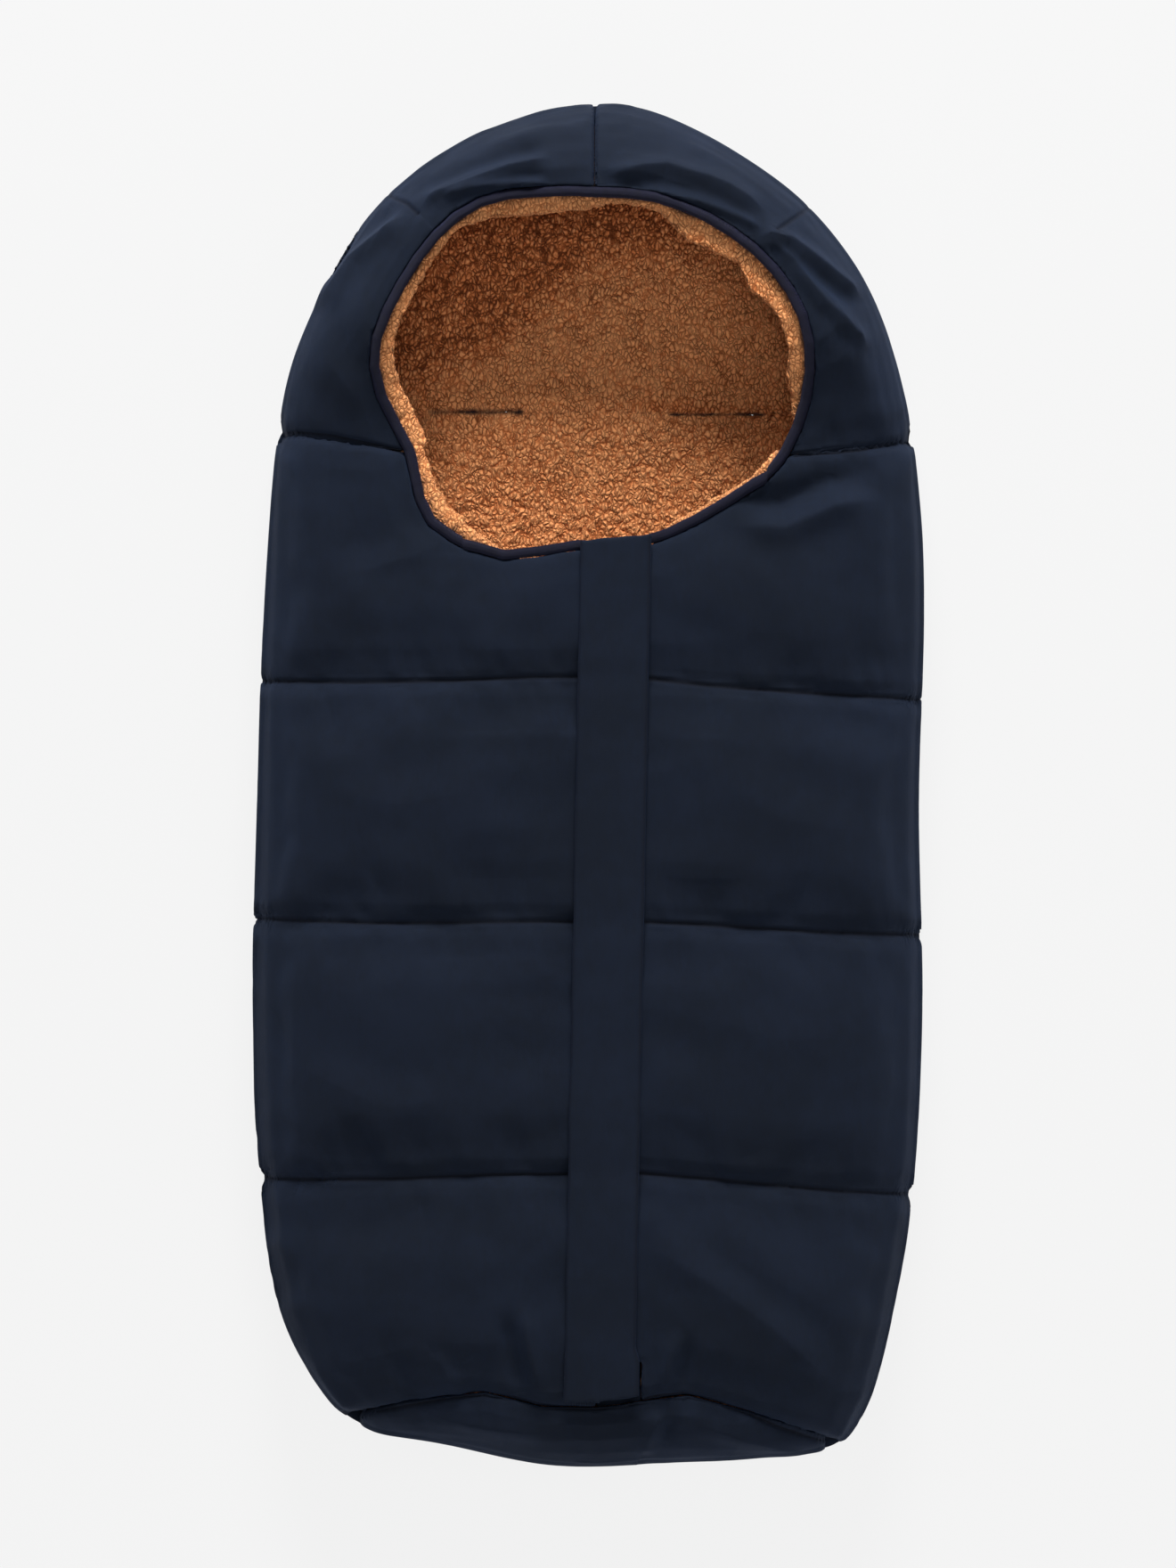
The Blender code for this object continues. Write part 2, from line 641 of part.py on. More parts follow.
def make_lapel(name: str, left: bool, fold, finish, lining_finish) -> np.ndarray:
    """A lapel of the front, from its fold line to the zip, up to the opening. Returns its edge there."""
    sign = 1 if left else -1

    def outer(y):
        return fold(y) + sign * HALF_GAP

    def zip_edge(half):
        def edge(y):
            return placket_x(y, -ZIP_INSET - sign * half)

        return edge

    seams = [level_line(BRIDGE_TOP_Y + HALF_GAP), *QUILT_LINES, lower_rim_y]
    across = np.linspace(0, 1, LAPEL_COLUMNS)
    groove = LEFT_GROOVE_HALF if left else ZIP_GROOVE_HALF
    shell = banded_rows(seams, outer, zip_edge(groove), across, CHANNEL_ROWS)
    tape_edge = TAPE_INNER + TAPE_WIDTH + GAP
    lining_seams = [level_line(BRIDGE_TOP_Y + LINING_FOOT_RUN), *QUILT_LINES, lower_rim_y]
    lining = banded_rows(lining_seams, outer, zip_edge(tape_edge), across, CHANNEL_ROWS)
    front_panel(name, shell, finish, lining_finish, lining)
    return shell[-1]


def hood_plan(starts, ends) -> np.ndarray:
    """Rows from the outline in to the opening, round one half of the hood."""
    along = np.linspace(0, 1, HOOD_ROWS)
    inner = SHELL_RIM.run(starts[0], ends[0], along)
    outer = OUTLINE.run(starts[1], ends[1], along)
    return outer[:, None] + (inner - outer)[:, None] * eased(SIDE_COLUMNS)[None, :, None]


def hood_corner(points: np.ndarray, left: bool, gap: float) -> np.ndarray:
    """Where a closed curve meets the shoulder seam on one side, a gap above it."""
    y = SHOULDER_LEFT_Y if left else SHOULDER_RIGHT_Y
    for _ in range(CORNER_STEPS):
        x = float(crossing(points, np.float64(y), left))
        y = float(shoulder_y(x)) + gap
    return np.array([x, y])


def top_of(points: np.ndarray, side: int) -> np.ndarray:
    """Where a closed curve passes the hood's centre seam, half a gap to one side."""
    x = OUTLINE.points[0, 0] + side * HALF_GAP
    high = points[points[:, 1] > OPENING_CENTRE_Y]
    order = high[:, 0].argsort()
    return np.array([x, np.interp(x, high[order, 0], high[order, 1])])


def rolled_out(plan: np.ndarray) -> np.ndarray:
    """The plan with one more column: the lining's edge, rolled out past the binding."""
    rim = plan[:, -1]
    _, inward = SHELL_RIM.nearest(rim)
    right = blend(0, 1, (rim[:, 0] - OPENING_CENTRE_X) / OPENING_HALF_WIDTH)
    low = blend(0, 1, (OPENING_CENTRE_Y - rim[:, 1]) / OPENING_HALF_HEIGHT)
    reach = BINDING_WIDTH + ROLL_OUT + (ROLL_OUT_RIGHT - ROLL_OUT) * right * low
    return np.concatenate([plan, (rim + inward * reach[:, None])[:, None]], 1)


def make_hood(finish, lining_finish) -> np.ndarray:
    """The two halves of the hood shell and the one lining under both. Returns their edge at the opening."""
    halves = []
    for name, side in (("hood_left", -1), ("hood_right", 1)):
        curves = (SHELL_RIM.points, OUTLINE.points)
        low = [hood_corner(points, side < 0, HALF_GAP) for points in curves]
        top = [top_of(points, side) for points in curves]
        plan = hood_plan(low, top) if side < 0 else hood_plan(top, low)
        front_panel(name, plan, finish)
        halves.append(plan)
    plan = rolled_out(np.concatenate([halves[0], halves[1][1:]]))
    lining_slab("hood_lining", plan, lining_finish)
    return np.concatenate([halves[0], halves[1][1:]])[:, -1]


# Bindings


def mitred(plan: np.ndarray, tangent: np.ndarray, fold, side: int) -> np.ndarray:
    """Points slid along a tangent to a fold line, half a gap to one side of it."""
    slope = float(fold(HALF_LENGTH) - fold(0)) / HALF_LENGTH
    wanted = fold(plan[:, 1]) + side * GAP
    travel = (wanted - plan[:, 0]) / (tangent[0] - slope * tangent[1])
    return plan + tangent * travel[:, None]


def make_binding(name: str, edge: np.ndarray, cuts: tuple, finish) -> None:
    """A rounded upright bar along the shell's edge, its top drawn in with the skin, cut at the fold lines."""
    _, inward = SHELL_RIM.nearest(edge)
    reaches = np.array([GAP + BINDING_WIDTH * (1 - share) for share, _ in BINDING_SECTION_SHARES])
    plans = edge[:, None] + inward[:, None] * reaches[None, :, None]
    kept = np.ones(len(edge), bool)
    for index, step, cut in ((0, edge[0] - edge[1], cuts[0]), (-1, edge[-1] - edge[-2], cuts[1])):
        if cut is not None:
            fold, side = cut
            far = np.linalg.norm(edge - edge[index], axis=1) > MITRE_REACH
            kept &= far | (side * (plans[..., 0] - fold(plans[..., 1])) > GAP).all(1)
            plans[index] = mitred(plans[index], step / np.linalg.norm(step), fold, side)
            kept[index] = True
    plans = plans[kept]
    top = RIM_DRAW - BINDING_CROWN
    depths = [top + (RIM_SHELL_THICKNESS - top) * level for _, level in BINDING_SECTION_SHARES]
    swept(name, dome(plans, np.array(depths)[None, :]), finish)


# Foot


def make_foot(seam: np.ndarray, finish, lining_finish) -> None:
    """The padded toe wall between the foot seam and the side seam, with its lining."""
    shares = (seam[:, 0] - seam[0, 0]) / (seam[-1, 0] - seam[0, 0])
    from_end = np.minimum(seam[:, 0] - seam[0, 0], seam[-1, 0] - seam[:, 0])
    above = seam.copy()
    above[:, 1] -= GAP + drawn_in(from_end, GUSSET_END / 2, GUSSET_CORNER)
    inset = GUSSET_END / (seam[-1, 0] - seam[0, 0])
    shares[0], shares[-1] = inset, 1 - inset
    below = OUTLINE.run(seam[-1], seam[0], 1 - shares)
    above[[0, -1]] = OUTLINE.run(seam[-1], seam[0], [1 - inset / 2, inset / 2])
    plan = below[None] + (above - below)[None] * eased(GUSSET_ROWS)[:, None, None]
    front_panel("foot_gusset", plan, finish, lining_finish)


def make_bridge(finish) -> np.ndarray:
    """The thin cloth bridge between the foot seam and the zip's end. Returns its edge at the foot seam."""

    def left_side(y):
        return left_fold_x(y) + HALF_GAP

    def right_side(y):
        return right_fold_x(y) - HALF_GAP

    across = np.linspace(0, 1, BRIDGE_COLUMNS)
    seams = [over_foot_seam, level_line(BRIDGE_TOP_Y - HALF_GAP)]
    plan = banded_rows(seams, left_side, right_side, across, BRIDGE_COLUMNS)
    slab("zip_foot_bridge", dome(plan, BRIDGE_DEPTH), dome(plan, BRIDGE_DEPTH + BRIDGE_THICKNESS), finish)
    return plan[0]


# Back


def coons(bottom: np.ndarray, top: np.ndarray, left: np.ndarray, right: np.ndarray) -> np.ndarray:
    """A grid of plan points inside four boundary runs."""
    rows = np.linspace(0, 1, len(left))[:, None, None]
    columns = np.linspace(0, 1, len(bottom))[None, :, None]
    across = left[:, None] * (1 - columns) + right[:, None] * columns
    along = bottom[None] * (1 - rows) + top[None] * rows
    low = bottom[0] * (1 - columns) + bottom[-1] * columns
    high = top[0] * (1 - columns) + top[-1] * columns
    return across + along - low * (1 - rows) - high * rows


def on_outline(share: tuple) -> np.ndarray:
    place = np.array([share[0] * HALF_WIDTH, share[1] * HALF_LENGTH])
    return OUTLINE.points[np.linalg.norm(OUTLINE.points - place, axis=1).argmin()]


def back_plans() -> tuple:
    """Grids of the back below and above the seam behind the shoulders."""
    columns = channel_shares(BACK_COLUMNS)
    foot_left, foot_right = on_outline(FOOT_LEFT_SHARE), on_outline(FOOT_RIGHT_SHARE)
    head_left, head_right = on_outline(HEAD_LEFT_SHARE), on_outline(HEAD_RIGHT_SHARE)
    seam_left = np.array([crossing(OUTLINE.points, np.float64(HEAD_SEAM_Y), True), HEAD_SEAM_Y])
    seam_right = np.array([crossing(OUTLINE.points, np.float64(HEAD_SEAM_Y), False), HEAD_SEAM_Y])
    seam = seam_left + (seam_right - seam_left) * columns[:, None]
    up_body = eased(BACK_BODY_ROWS)
    up_hood = 1 - eased(BACK_HOOD_ROWS)[::-1]
    body = coons(
        OUTLINE.run(foot_right, foot_left, 1 - columns),
        seam,
        OUTLINE.run(foot_left, seam_left, up_body),
        OUTLINE.run(seam_right, foot_right, 1 - up_body),
    )
    hood = coons(
        seam,
        OUTLINE.run(head_left, head_right, columns),
        OUTLINE.run(seam_left, head_left, up_hood),
        OUTLINE.run(head_right, seam_right, 1 - up_hood),
    )
    return body, hood


def racetrack(length: float, width: float) -> list:
    """Plan points of a slot with round ends, anticlockwise."""
    points = []
    for end, start_angle in ((1, -math.pi / 2), (-1, math.pi / 2)):
        for step in range(SLOT_ARC_STEPS + 1):
            angle = start_angle + math.pi * step / SLOT_ARC_STEPS
            x = end * (length - width) / 2 + width / 2 * math.cos(angle)
            points.append((x, width / 2 * math.sin(angle)))
    return points


def prism(name: str, outline: list, low: float, high: float, finish, smooth=False) -> bpy.types.Object:
    """An upright prism over a plan outline."""
    count = len(outline)
    vertices = [(x, y, low) for x, y in outline] + [(x, y, high) for x, y in outline]
    faces = [list(range(count)), list(range(count, 2 * count))]
    for index in range(count):
        after = (index + 1) % count
        faces.append([index, after, after + count, index + count])
    return build(name, vertices, faces, finish, smooth)


def make_slot(name: str, x: float, y: float, finish, cut_nodes: list) -> None:
    """A harness slot through the back, with its bound edge."""
    top = BACK_SHELL_THICKNESS + LAYER_GAP + BACK_LINING_THICKNESS
    hole = racetrack(SLOT_LENGTH, SLOT_WIDTH)
    cutter = prism(name + "_cutter", hole, -CUT_OVERRUN, top + CUT_OVERRUN, finish)
    cutter.location = (x, y, 0)
    cutter.hide_render = True
    cutter.display_type = "WIRE"
    for node in cut_nodes:
        cut = node.modifiers.new(name, "BOOLEAN")
        cut.object = cutter
        cut.operation = "DIFFERENCE"
    outer = racetrack(SLOT_LENGTH - SLOT_FIT, SLOT_WIDTH - SLOT_FIT)
    inner = racetrack(SLOT_LENGTH - SLOT_FIT - SLOT_EDGES, SLOT_WIDTH - SLOT_FIT - SLOT_EDGES)
    low, high = SLOT_BINDING_FLOOR, top + SLOT_BINDING_PROUD
    count = len(outer)
    rings = ((outer, low), (inner, low), (inner, high), (outer, high))
    vertices = [(*point, z) for ring, z in rings for point in ring]
    faces = []
    for ring in range(4):
        for index in range(count):
            after = (index + 1) % count
            near, far = ring * count, (ring + 1) % 4 * count
            faces.append([near + index, near + after, far + after, far + index])
    build(name, vertices, faces, finish, False).location = (x, y, 0)


def make_back(finish, lining_finish, bound) -> None:
    """The padded back, its two linings and the harness slots through them."""
    body, hood = back_plans()
    whole = np.concatenate([body, hood[1:]])
    shell = slab("back_shell", cradle(whole, 0), cradle(whole, BACK_SHELL_THICKNESS), finish)
    low, high = BACK_SHELL_THICKNESS + LAYER_GAP, BACK_SHELL_THICKNESS + LAYER_GAP + BACK_LINING_THICKNESS
    body[-1, :, 1] -= HALF_GAP
    hood[0, :, 1] += HALF_GAP
    body_lining = slab("back_lining", cradle(body, low), cradle(body, high), lining_finish)
    hood_lining = slab("hood_back_lining", cradle(hood, low), cradle(hood, high), lining_finish)
    for name, side in (("shoulder_slot_left", -1), ("shoulder_slot_right", 1)):
        x = SLOT_MIDDLE_X + side * SLOT_ROW_X
        make_slot(name, x, HEAD_SEAM_Y, bound, [shell, body_lining, hood_lining])
    make_slot("crotch_slot", SLOT_MIDDLE_X, CROTCH_SLOT_Y, bound, [shell, body_lining])


# Zip and flap


def lower_opening_y(x):
    part = OPENING.points[OPENING.points[:, 1] < OPENING_CENTRE_Y]
    order = part[:, 0].argsort()
    return np.interp(x, part[order, 0], part[order, 1])


def make_flap(finish) -> None:
    """The flap over the zip, sewn along its right edge and loose along its left."""
    low, high = -FLAP_LIFT, -FLAP_LIFT - FLAP_THICKNESS
    edge = FLAP_EDGE_ROUND
    around = [
        (0, low), (-FLAP_WIDTH / 2, low), (-FLAP_WIDTH + edge, low), (-FLAP_WIDTH, low - edge),
        (-FLAP_WIDTH, high + edge), (-FLAP_WIDTH + edge, high), (-FLAP_WIDTH / 2, high), (-edge, high),
        (0, high + edge),
    ]
    offsets = np.array([offset for offset, _ in around])
    depths = np.array([depth for _, depth in around])
    rings = []
    for share in np.linspace(0, 1, FLAP_ROWS):
        y = np.full(len(around), FOOT_SEAM_Y)
        for _ in range(FLAP_STEPS):
            x = placket_x(y, offsets)
            foot_y = foot_seam_y(x) + GAP
            y = foot_y + (lower_opening_y(x) - foot_y) * share
        rings.append(np.stack([x, y], -1))
    swept("zip_flap", dome(np.array(rings), depths[None, :]), finish)


TAPE_DEPTH = SHELL_THICKNESS + LAYER_GAP
CHAIN_DEPTH = TAPE_DEPTH + TAPE_THICKNESS / 2
CHAIN_FOOT_Y = BRIDGE_TOP_Y + STOP_LENGTH
RIM_AT_ZIP_Y = float(lower_rim_y(float(placket_x(LEFT_FOLD_TOP_Y, -ZIP_INSET))))
SLIDER_FRONT_Y = RIM_AT_ZIP_Y - SLIDER_FROM_RIM
SLIDER_REAR_Y = SLIDER_FRONT_Y - SLIDER_LENGTH


def zip_frame(y: float) -> Matrix:
    """A frame on the zip's centre line at a y: X across, Y along the zip, Z out of the chain."""
    rise = (CHEST_HEIGHT - FOOT_HEIGHT) / (SHOULDER_Y - FOOT_SEAM_Y)
    along = Vector((PLACKET_SLANT, 1, rise)).normalized()
    across = along.cross(Vector((0, 0, 1))).normalized()
    out = across.cross(along)
    place = Vector((float(placket_x(y, -ZIP_INSET)), y, float(height_at(y)) - CHAIN_DEPTH))
    turn = Matrix((across, along, out)).transposed().to_4x4()
    return Matrix.Translation(place) @ turn


def make_tape(name: str, left: bool, fold, finish) -> None:
    """A zip tape under the lapel's edge, kept inside its fold line, with room for the parked slider."""
    side = -1 if left else 1
    recess = SLIDER_FRONT_HALF + TAPE_EDGE_CLEARANCE
    foot = CHAIN_FOOT_Y
    rows = [foot + (SLIDER_REAR_Y - GAP - foot) * share for share in np.linspace(0, 1, TAPE_ROWS)]
    edges = [TAPE_INNER] * TAPE_ROWS
    if left:
        rows += [SLIDER_REAR_Y, SLIDER_FRONT_Y + GAP, SLIDER_FRONT_Y + RECESS_END]
        edges += [recess, recess, TAPE_INNER]
    rows.append(RIM_AT_ZIP_Y - GAP)
    edges.append(TAPE_INNER)
    y = np.array(rows)
    inner = placket_x(y, -ZIP_INSET + side * np.array(edges))
    wide = placket_x(y, -ZIP_INSET + side * (TAPE_INNER + TAPE_WIDTH))
    limit = fold(y) - side * TAPE_EDGE_CLEARANCE
    outer = np.maximum(wide, limit) if left else np.minimum(wide, limit)
    plan = np.stack([np.stack([inner, y], -1), np.stack([outer, y], -1)], 1)
    slab(name, dome(plan, TAPE_DEPTH), dome(plan, TAPE_DEPTH + TAPE_THICKNESS), finish)


def make_teeth(name: str, left: bool, finish) -> None:
    """One row of teeth on its spine: a comb that meshes with the row across the centre line."""
    side = -1 if left else 1
    length = SLIDER_REAR_Y - GAP - CHAIN_FOOT_Y
    count = int((length - TOOTH_PITCH) / TOOTH_PITCH)
    outline = [(side * (SPINE_INNER + SPINE_THICKNESS), 0), (side * SPINE_INNER, 0)]
    for index in range(count):
        start = index * TOOTH_PITCH + (TOOTH_PITCH / 2 if left else 0) + GAP
        outline.append((side * SPINE_INNER, start))
        outline.append((-side * TOOTH_REACH, start + GAP))
        outline.append((-side * TOOTH_REACH, start + TOOTH_WIDTH - GAP))
        outline.append((side * SPINE_INNER, start + TOOTH_WIDTH))
    outline += [(side * SPINE_INNER, length), (side * (SPINE_INNER + SPINE_THICKNESS), length)]
    row = prism(name, outline, -TOOTH_HEIGHT / 2, TOOTH_HEIGHT / 2, finish)
    row.matrix_world = zip_frame(CHAIN_FOOT_Y)


def box(name: str, low: tuple, high: tuple, finish) -> bpy.types.Object:
    outline = [(low[0], low[1]), (high[0], low[1]), (high[0], high[1]), (low[0], high[1])]
    return prism(name, outline, low[2], high[2], finish)


def make_stops(finish) -> None:
    """Top stops beside the tapes' inner edges, just past the parked slider."""
    for name, side in (("zip_top_stop_left", -1), ("zip_top_stop_right", 1)):
        inner, outer = side * STOP_INNER, side * (SPINE_INNER + SPINE_THICKNESS)
        low = (min(inner, outer), STOP_CLEARANCE, -TOOTH_HEIGHT / 2)
        high = (max(inner, outer), STOP_CLEARANCE + STOP_LENGTH, TOOTH_HEIGHT / 2)
        box(name, low, high, finish).matrix_world = zip_frame(SLIDER_FRONT_Y)
    reach = SPINE_INNER + SPINE_THICKNESS
    low, high = (-reach, GAP, -TOOTH_HEIGHT / 2), (reach, STOP_LENGTH - GAP, TOOTH_HEIGHT / 2)
    box("zip_bottom_stop", low, high, finish).matrix_world = zip_frame(BRIDGE_TOP_Y)


def hide_cutter(cutter, target, operation: str = "DIFFERENCE") -> None:
    cutter.hide_render = True
    cutter.display_type = "WIRE"
    change = target.modifiers.new(cutter.name, "BOOLEAN")
    change.object = cutter
    change.operation = operation


def make_slider(finish, pull_finish) -> None:
    """The slider: two plates joined by the post between the open rows, side flanges and the pull's lug."""
    half_channel = TOOTH_HEIGHT / 2 + SLIDER_CLEARANCE
    half_height = half_channel + SLIDER_PLATE
    rear, front, nose = SLIDER_REAR_HALF, SLIDER_FRONT_HALF, SLIDER_NOSE
    outline = [
        (-rear, 0), (rear, 0), (front, SLIDER_LENGTH - nose), (front - nose / 2, SLIDER_LENGTH),
        (-front + nose / 2, SLIDER_LENGTH), (-front, SLIDER_LENGTH - nose),
    ]
    place = zip_frame(SLIDER_REAR_Y)
    slider = prism("zip_slider", outline, -half_height, half_height, finish)
    slider.matrix_world = place
    mouth = SPINE_INNER + SPINE_THICKNESS + SLIDER_CLEARANCE
    post_start = SLIDER_LENGTH - SLIDER_POST_LENGTH
    wide = SLIDER_FRONT_HALF - SLIDER_PLATE
    branch = [
        (-mouth, -CUT_OVERRUN), (mouth, -CUT_OVERRUN), (mouth, post_start / 2), (wide, SLIDER_LENGTH - nose),
        (wide, SLIDER_LENGTH + CUT_OVERRUN), (SLIDER_POST_HALF, SLIDER_LENGTH + CUT_OVERRUN),
        (SLIDER_POST_HALF, post_start + nose), (0, post_start), (-SLIDER_POST_HALF, post_start + nose),
        (-SLIDER_POST_HALF, SLIDER_LENGTH + CUT_OVERRUN), (-wide, SLIDER_LENGTH + CUT_OVERRUN),
        (-wide, SLIDER_LENGTH - nose), (-mouth, post_start / 2),
    ]
    channel = prism("slider_channel", branch, -half_channel, half_channel, finish)
    channel.matrix_world = place
    hide_cutter(channel, slider)
    slot_half = TAPE_THICKNESS / 2 + SLIDER_CLEARANCE
    for side in (-1, 1):
        inner, outer = side * (mouth - GAP), side * (SLIDER_FRONT_HALF + CUT_OVERRUN)
        low = (min(inner, outer), -CUT_OVERRUN, -slot_half)
        high = (max(inner, outer), SLIDER_LENGTH + CUT_OVERRUN, slot_half)
        slot = box(f"slider_slot_{'left' if side < 0 else 'right'}", low, high, finish)
        slot.matrix_world = place
        hide_cutter(slot, slider)
    middle = SLIDER_LENGTH / 2
    arch_low = (-LUG_WIDTH / 2, middle - LUG_LENGTH / 2, half_height - SLIDER_PLATE / 2)
    arch_high = (LUG_WIDTH / 2, middle + LUG_LENGTH / 2, half_height + LUG_HEIGHT)
    arch = box("slider_lug", arch_low, arch_high, finish)
    arch.matrix_world = place
    hide_cutter(arch, slider, "UNION")
    eye_low = (-LUG_WIDTH, middle - LUG_LENGTH / 2 + LUG_WALL, half_height + LUG_FLOOR)
    eye_high = (LUG_WIDTH, middle + LUG_LENGTH / 2 - LUG_WALL, half_height + LUG_HEIGHT - LUG_WALL)
    eye = box("slider_lug_eye", eye_low, eye_high, finish)
    eye.matrix_world = place
    hide_cutter(eye, slider)
    make_pull(place @ Matrix.Translation((0, middle, half_height + PULL_RISE)), pull_finish)


def make_pull(place: Matrix, finish) -> None:
    """The pull: a tapered tab with an eye, its cross bar held in the slider's lug."""
    bar, tip = PULL_THICKNESS / 2, PULL_TIP_WIDTH / 2
    wide, foot = PULL_WIDTH / 2, -PULL_LENGTH
    taper = foot * PULL_TAPER_SHARE
    outline = [
        (-wide, bar), (-wide, taper), (-tip, foot + tip / 2), (-tip / 2, foot), (tip / 2, foot),
        (tip, foot + tip / 2), (wide, taper), (wide, bar),
    ]
    pull = prism("zip_pull", outline, -bar, bar, finish)
    pull.matrix_world = place
    eye_low = (-PULL_EYE_WIDTH / 2, -bar - PULL_EYE_LENGTH, -bar - CUT_OVERRUN)
    eye = box("pull_eye", eye_low, (PULL_EYE_WIDTH / 2, -bar, bar + CUT_OVERRUN), finish)
    eye.matrix_world = place
    hide_cutter(eye, pull)


# Moving pieces


LAPEL_PIECES = (
    "front_{}_lapel", "front_{}_lapel_lining", "binding_{}_lapel", "zip_tape_{}", "zip_top_stop_{}",
)


def place_origin(name: str, place: Vector) -> None:
    """Moves a piece's origin to a point and leaves its shape where it is."""
    thing = bpy.data.objects[name]
    bpy.context.view_layer.update()
    thing.data.transform(Matrix.Translation(-place) @ thing.matrix_world)
    thing.matrix_world = Matrix.Translation(place)


def place_origins() -> None:
    """Puts the origin of each piece that moves on the axis that it moves about."""
    for side, fold in (("left", left_fold_x), ("right", right_fold_x)):
        hinge_z = float(height_at(BRIDGE_TOP_Y)) + FOLD_AXIS_LIFT
        hinge = Vector((float(fold(BRIDGE_TOP_Y)), BRIDGE_TOP_Y, hinge_z))
        for name in LAPEL_PIECES:
            place_origin(name.format(side), hinge)
    sewn_edge_z = float(height_at(FOOT_SEAM_Y)) + FLAP_LIFT + FLAP_THICKNESS
    place_origin("zip_flap", Vector((PLACKET_FOOT_X, FOOT_SEAM_Y, sewn_edge_z)))


# Build


def main() -> None:
    clear_scene()
    navy = material("navy_softshell", NAVY)
    teddy = material("teddy_lining", TEDDY)
    shaded = material("teddy_lining_back", SHADED_LINING)
    bound = material("navy_binding", BINDING_NAVY)
    zip_black = material("zip_black", ZIP_BLACK)
    pull_metal = material("pull_metal", PULL_METAL, 1.0)
    left_edge, left_foot = make_side("front_left_side", True, left_fold_x, navy, teddy)
    right_edge, right_foot = make_side("front_right_side", False, right_fold_x, navy, teddy)
    left_lapel = make_lapel("front_left_lapel", True, left_fold_x, navy, teddy)
    right_lapel = make_lapel("front_right_lapel", False, right_fold_x, navy, teddy)
    hood_edge = make_hood(navy, teddy)
    rim = np.concatenate([left_edge[:-1], hood_edge, right_edge[-2::-1]])
    make_binding("binding_hood", rim, ((left_fold_x, -1), (right_fold_x, 1)), bound)
    make_binding("binding_left_lapel", left_lapel, ((left_fold_x, 1), None), bound)
    make_binding("binding_right_lapel", right_lapel, ((right_fold_x, -1), None), bound)
    bridge_foot = make_bridge(navy)
    make_foot(np.concatenate([left_foot, bridge_foot, right_foot[::-1]]), navy, teddy)
    make_back(navy, shaded, bound)
    make_tape("zip_tape_left", True, left_fold_x, zip_black)
    make_tape("zip_tape_right", False, right_fold_x, zip_black)
    make_teeth("zip_teeth_left", True, zip_black)
    make_teeth("zip_teeth_right", False, zip_black)
    make_stops(zip_black)
    make_slider(pull_metal, pull_metal)
    make_flap(navy)
    place_origins()


main()
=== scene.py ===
"""Hooded baby footmuff: padded softshell, curly teddy lining, bound face opening, zip under a sewn flap.

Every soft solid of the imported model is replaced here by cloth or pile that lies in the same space. The padded
panels are copied from their solids, remeshed evenly, swelled as cloth between their seams and then creased.
"""

import logging
import math
from dataclasses import dataclass, field
from enum import Enum

import bpy
import numpy as np
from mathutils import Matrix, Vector, noise


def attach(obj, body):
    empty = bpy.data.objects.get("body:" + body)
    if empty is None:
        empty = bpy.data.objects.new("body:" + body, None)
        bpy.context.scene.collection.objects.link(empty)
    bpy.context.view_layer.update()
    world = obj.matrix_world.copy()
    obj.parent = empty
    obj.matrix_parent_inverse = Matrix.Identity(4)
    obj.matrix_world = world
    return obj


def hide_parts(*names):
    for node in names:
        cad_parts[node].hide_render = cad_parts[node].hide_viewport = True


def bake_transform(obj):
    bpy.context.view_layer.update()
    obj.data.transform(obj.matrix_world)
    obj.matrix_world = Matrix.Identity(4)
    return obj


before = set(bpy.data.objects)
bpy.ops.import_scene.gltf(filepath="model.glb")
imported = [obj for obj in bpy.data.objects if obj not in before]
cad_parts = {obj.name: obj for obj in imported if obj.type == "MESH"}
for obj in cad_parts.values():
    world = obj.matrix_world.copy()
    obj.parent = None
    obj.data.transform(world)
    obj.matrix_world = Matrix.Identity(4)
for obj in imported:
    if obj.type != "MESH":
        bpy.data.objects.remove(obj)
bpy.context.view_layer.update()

log = logging.getLogger("footmuff")

MM = 0.001
SPINE = (-0.30, 0.27)
SPINE_HEIGHT = 0.034
BACK_SEAM = 0.222

Colour = tuple[float, float, float]
Points = np.ndarray


class Body(Enum):
    """The bodies that soft pieces ride on."""

    MUFF = "muff"
    LEFT = "left_lapel"
    RIGHT = "right_lapel"
    FLAP = "flap"


class Side(Enum):
    """The muff's two sides as the photograph shows them."""

    LEFT = -1
    RIGHT = 1


# Shader maths


class Value:
    """A shader socket that can be added, multiplied and compared like a number."""

    def __init__(self, paint: "Paint", socket: bpy.types.NodeSocket) -> None:
        """Wraps an output socket of a material."""
        self.paint = paint
        self.socket = socket

    def _with(self, operation: str, other: "Value | float", swap: bool = False) -> "Value":
        """Joins this value and another by a Math node, in the other order if swap is set."""
        pair = (other, self) if swap else (self, other)
        return self.paint.value("ShaderNodeMath", {"operation": operation}, dict(enumerate(pair)))

    def __add__(self, other: "Value | float") -> "Value":
        """Sum."""
        return self._with("ADD", other)

    def __radd__(self, other: float) -> "Value":
        """Sum with a number on the left."""
        return self._with("ADD", other, True)

    def __sub__(self, other: "Value | float") -> "Value":
        """Difference."""
        return self._with("SUBTRACT", other)

    def __rsub__(self, other: float) -> "Value":
        """Difference from a number on the left."""
        return self._with("SUBTRACT", other, True)

    def __mul__(self, other: "Value | float") -> "Value":
        """Product."""
        return self._with("MULTIPLY", other)

    def spread(self, low: float, high: float) -> "Value":
        """Maps low to 0 and high to 1, and holds what lies outside.

        Args:
            low: The value that becomes 0.
            high: The value that becomes 1.

        Returns:
            The mapped value.
        """
        sockets = {0: self, 1: low, 2: high}
        return self.paint.value("ShaderNodeMapRange", {"interpolation_type": "SMOOTHSTEP"}, sockets)


